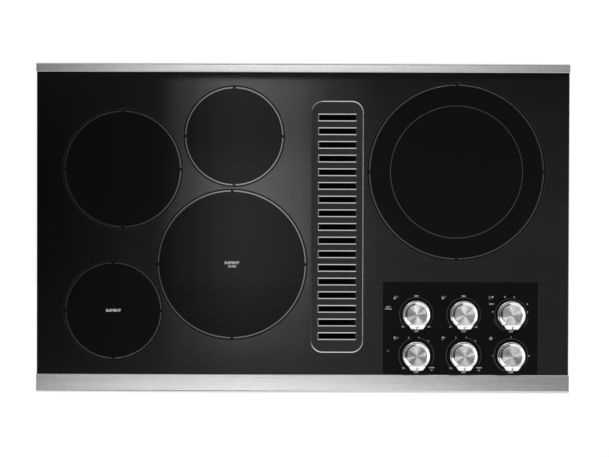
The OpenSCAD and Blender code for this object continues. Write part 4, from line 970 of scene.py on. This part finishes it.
def cross_head(radius, tall, shank_r, shank_long):
    """A pan head that stands on Z = 0 with its recess upwards, over a pointed shank."""
    head = stub(28, radius, tall, tall * 0.55, segments=4)
    start_edit()
    arm_wide, arm_long = radius * 0.26, radius * 0.62
    for limit in (-arm_long, -arm_wide / 2, arm_wide / 2, arm_long):
        for plane in ((1, 0, 0), (0, 1, 0)):
            slice_at(Vector(plane) * limit, plane)
    pick(lambda face, middle: face.normal.z > 0.95 and middle.z > tall * 0.98
         and min(abs(middle.x), abs(middle.y)) < arm_wide / 2
         and max(abs(middle.x), abs(middle.y)) < arm_long)
    pull_up(-tall * 0.55)
    bpy.ops.transform.resize(value=(0.7, 0.7, 1), center_override=(0, 0, 0))
    end_edit()
    shank = add("cylinder", vertices=16, radius=shank_r, depth=shank_long, location=(0, 0, -shank_long / 2))
    bpy.ops.object.transform_apply(location=True, rotation=False, scale=False)
    start_edit(lambda face, middle: middle.z < -shank_long * 0.9, "FACE")
    bpy.ops.mesh.inset(thickness=shank_r * 0.6, depth=shank_r * 0.8)
    end_edit()
    return join([head, shank])


head_tall = 0.0024
screw_places = []
for low, high in screw_boxes("screws"):
    middle = (low + high) / 2
    if high.x - low.x > high.z - low.z:
        middle.x = low.x + head_tall
        screw_places.append(facing(middle, (-1, 0, 0), (0, 1, 0)))
    else:
        middle.z = low.z + head_tall
        screw_places.append(facing(middle, (0, 0, -1), (0, 1, 0)))
screws = copies_at(cross_head(0.004, head_tall, 0.002, 0.0066), screw_places)
finish(join(screws), "screws_cross_head", "cooktop", "plated_steel", plated, smooth=40, stands_for=["screws"])


# Clamp screws: each is a plated bolt with a rolled thread, a hexagon head below and a swivel pad that presses
# on the worktop from below.
shank_r, root_r, pitch, pad_r = 0.003, 0.0026, 0.00125, 0.007
for side in ("left", "right"):
    low, high, x, y = box_of(f"clamp_screw_{side}")
    thread_from, thread_to, pad_z = low.z + 0.0056, high.z - 0.0050, high.z - 0.002
    profile = [(0, low.z + 0.0048), (shank_r, low.z + 0.0048), (shank_r, thread_from)]
    for n in range(int((thread_to - thread_from) / pitch)):
        profile += [(root_r, thread_from + (n + 0.5) * pitch), (shank_r, thread_from + (n + 1) * pitch)]
    profile += [(root_r, pad_z - 0.0030), (root_r, pad_z - 0.0012), (pad_r - 0.0028, pad_z - 0.0010),
                (pad_r - 0.0014, pad_z - 0.0003), (pad_r, pad_z + 0.0006), (pad_r, high.z - 0.0003),
                (pad_r - 0.0004, high.z), (0, high.z)]
    bolt = turned(profile, x, y, 0, 20)
    head = stub(6, 0.006, 0.005, 0.0008, both_ends=True, foot=(x, y, low.z))
    finish(join([bolt, head]), f"clamp_bolt_{side}", f"clamp_{side}", "plated_steel", plated, smooth=35,
           stands_for=[f"clamp_screw_{side}"])


# Overflow jar: pressed glass with a round shoulder, three grip rings and a pushed-up bottom. Its neck screws
# into the plenum's collar.
jar_glass, place, vary = material_of(
    "jar_glass", Base_Color=(0.93, 0.97, 0.96, 1), Transmission_Weight=1.0, IOR=1.5)
flow = place.noise(25, detail=2)
vary(Roughness=flow * 0.04 + 0.02, Bump=(flow, 0.001, 0.15))

jar_low, jar_high, jar_x, jar_y = box_of("overflow_jar")
neck_r, neck_tall, jar_wall = 0.029, 0.013, 0.0025
shoulder_tall, foot_round, ring_proud = 0.010, 0.007, 0.0006
jar_r, shoulder_z = (jar_high.x - jar_low.x) / 2 - ring_proud, jar_high.z - neck_tall
shoulder_r = neck_r + 0.002
outer = [(neck_r, jar_high.z), (neck_r, shoulder_z), (shoulder_r, shoulder_z)]
outer += bend(shoulder_r, shoulder_z - shoulder_tall, jar_r - shoulder_r, shoulder_tall,
              [90 * step / 7 for step in range(1, 8)])
for ring_z in (shoulder_z - 0.018, shoulder_z - 0.026, shoulder_z - 0.034):
    for step in range(-2, 3):
        outer.append((jar_r + ring_proud * math.cos(step * math.pi / 4), ring_z - step * 0.0011))
outer += bend(jar_r - foot_round, jar_low.z + foot_round, foot_round, foot_round,
              [90 + 15 * step for step in range(7)])
outer += [(jar_r - 0.012, jar_low.z + 0.0003), (jar_r - 0.016, jar_low.z + 0.0024), (0, jar_low.z + 0.0042)]
bore, neck_bore = jar_r - jar_wall, neck_r - jar_wall
inner = [(0, jar_low.z + 0.0080), (jar_r - 0.014, jar_low.z + 0.0064), (jar_r - 0.0060, jar_low.z + 0.0055),
         (bore - 0.0008, jar_low.z + 0.0072), (bore, jar_low.z + 0.0105), (bore, shoulder_z - 0.012),
         (bore - 0.0018, shoulder_z - 0.0065), (neck_bore + 0.0012, shoulder_z - 0.0026),
         (neck_bore, shoulder_z - 0.0010), (neck_bore, jar_high.z), (neck_r, jar_high.z)]
jar = turned(outer + inner, jar_x, jar_y, 0, 72)
finish(jar, "jar_pressed_glass", "jar", "jar_glass", jar_glass, smooth=40, stands_for=["overflow_jar"])


# Conduit connector: a plated locknut with driving notches and two clamp screws for the supply's conduit.
fit_low, fit_high, fit_x, fit_y = box_of("conduit_connector")
fit_r = (fit_high.x - fit_low.x) / 2
lug_at = Vector((fit_x, fit_y, box_low.z - 0.0040))
clamp_at = Vector((fit_x, fit_y, fit_low.z + 0.0070))
outs = [Vector((math.cos(n * math.pi / 4), math.sin(n * math.pi / 4), 0)) for n in range(8)]
parts = copies_at(lapped_strip(0.0062, 0.0058, 0.0022), [
    facing(lug_at + out * (fit_r - 0.0003), out, (-out.y, out.x, 0)) for out in outs])
for part, reach in ((lapped_strip(0.020, 0.009, 0.0030), fit_r - 0.0004),
                    (cross_head(0.0032, 0.0020, 0.0015, 0.004), fit_r + 0.0026)):
    parts += copies_at(part, [facing(clamp_at + Vector((0, side * reach, 0)), (0, side, 0), (1, 0, 0))
                              for side in (-1, 1)])
finish(join(parts), "conduit_clamp", "cooktop", "plated_steel", plated, smooth=40)


# Grease filter: a folded aluminium frame with two layers of expanded aluminium mesh, on both sides of a mat
# of finer mesh that light can't pass. Each diamond is cut and stretched. The frame, the mesh and the mat are
# coloured near-black: painted shade for the dark well under the grille.
# Painted shade: the frame's near-black colour stands in for the shade it lies in under the grille.
filter_metal = plain_finish("filter_metal", (1, 3), (0.05, 0.05, 0.048), (0.09, 0.09, 0.086), 0.35, 0.15,
                            bump=(0.0002, 0.1), stretch=(60, 500, 60), Metallic=1.0)
dress(filter_metal, "filter_frame")
# Painted shade: the mesh and the mat get an even darker colour, which stands in for the shade under the
# grille.
painted_shade_mesh = plain_finish("filter_painted_shade", (30, 4, 0.65), (0.025, 0.024, 0.022), (0.07, 0.068, 0.062), 0.4, 0.15,
                      Metallic=1.0)

mesh_wide, mesh_long, layer_gap, strand, cells_wide, cells_long = 0.0716, 0.3996, 0.0036, 0.0009, 13, 48
slope = Matrix.Translation((0.059, 0.0025, -0.046)) @ Matrix.Rotation(math.radians(-26), 4, "Y")
layers = []
for layer in (-1, 1):
    lattice = block("grid", mesh_wide, mesh_long, 1, (0, 0, 0), x_subdivisions=cells_wide,
                    y_subdivisions=cells_long)
    start_edit()
    bpy.ops.mesh.poke()
    pick(lambda edge, middle: len(edge.link_faces) == 2
         and min(map(abs, (edge.verts[0].co - edge.verts[1].co).xy)) < 0.00001, "EDGE")
    bpy.ops.mesh.dissolve_edges()
    end_edit()
    modify(lattice, "WIREFRAME", thickness=strand, use_even_offset=False, use_replace=True)
    shift = (layer * mesh_wide / cells_wide / 4, 0, layer * layer_gap / 2)
    lattice.matrix_world = slope @ Matrix.Translation(shift)
    layers.append(lattice)
mat = block("cube", mesh_wide, mesh_long, layer_gap - strand * 1.5, (0, 0, 0))
mat.matrix_world = slope
layers.append(mat)
finish(join(layers), "filter_lattice", "filter", "filter_metal", painted_shade_mesh, stands_for=["filter_mesh"])
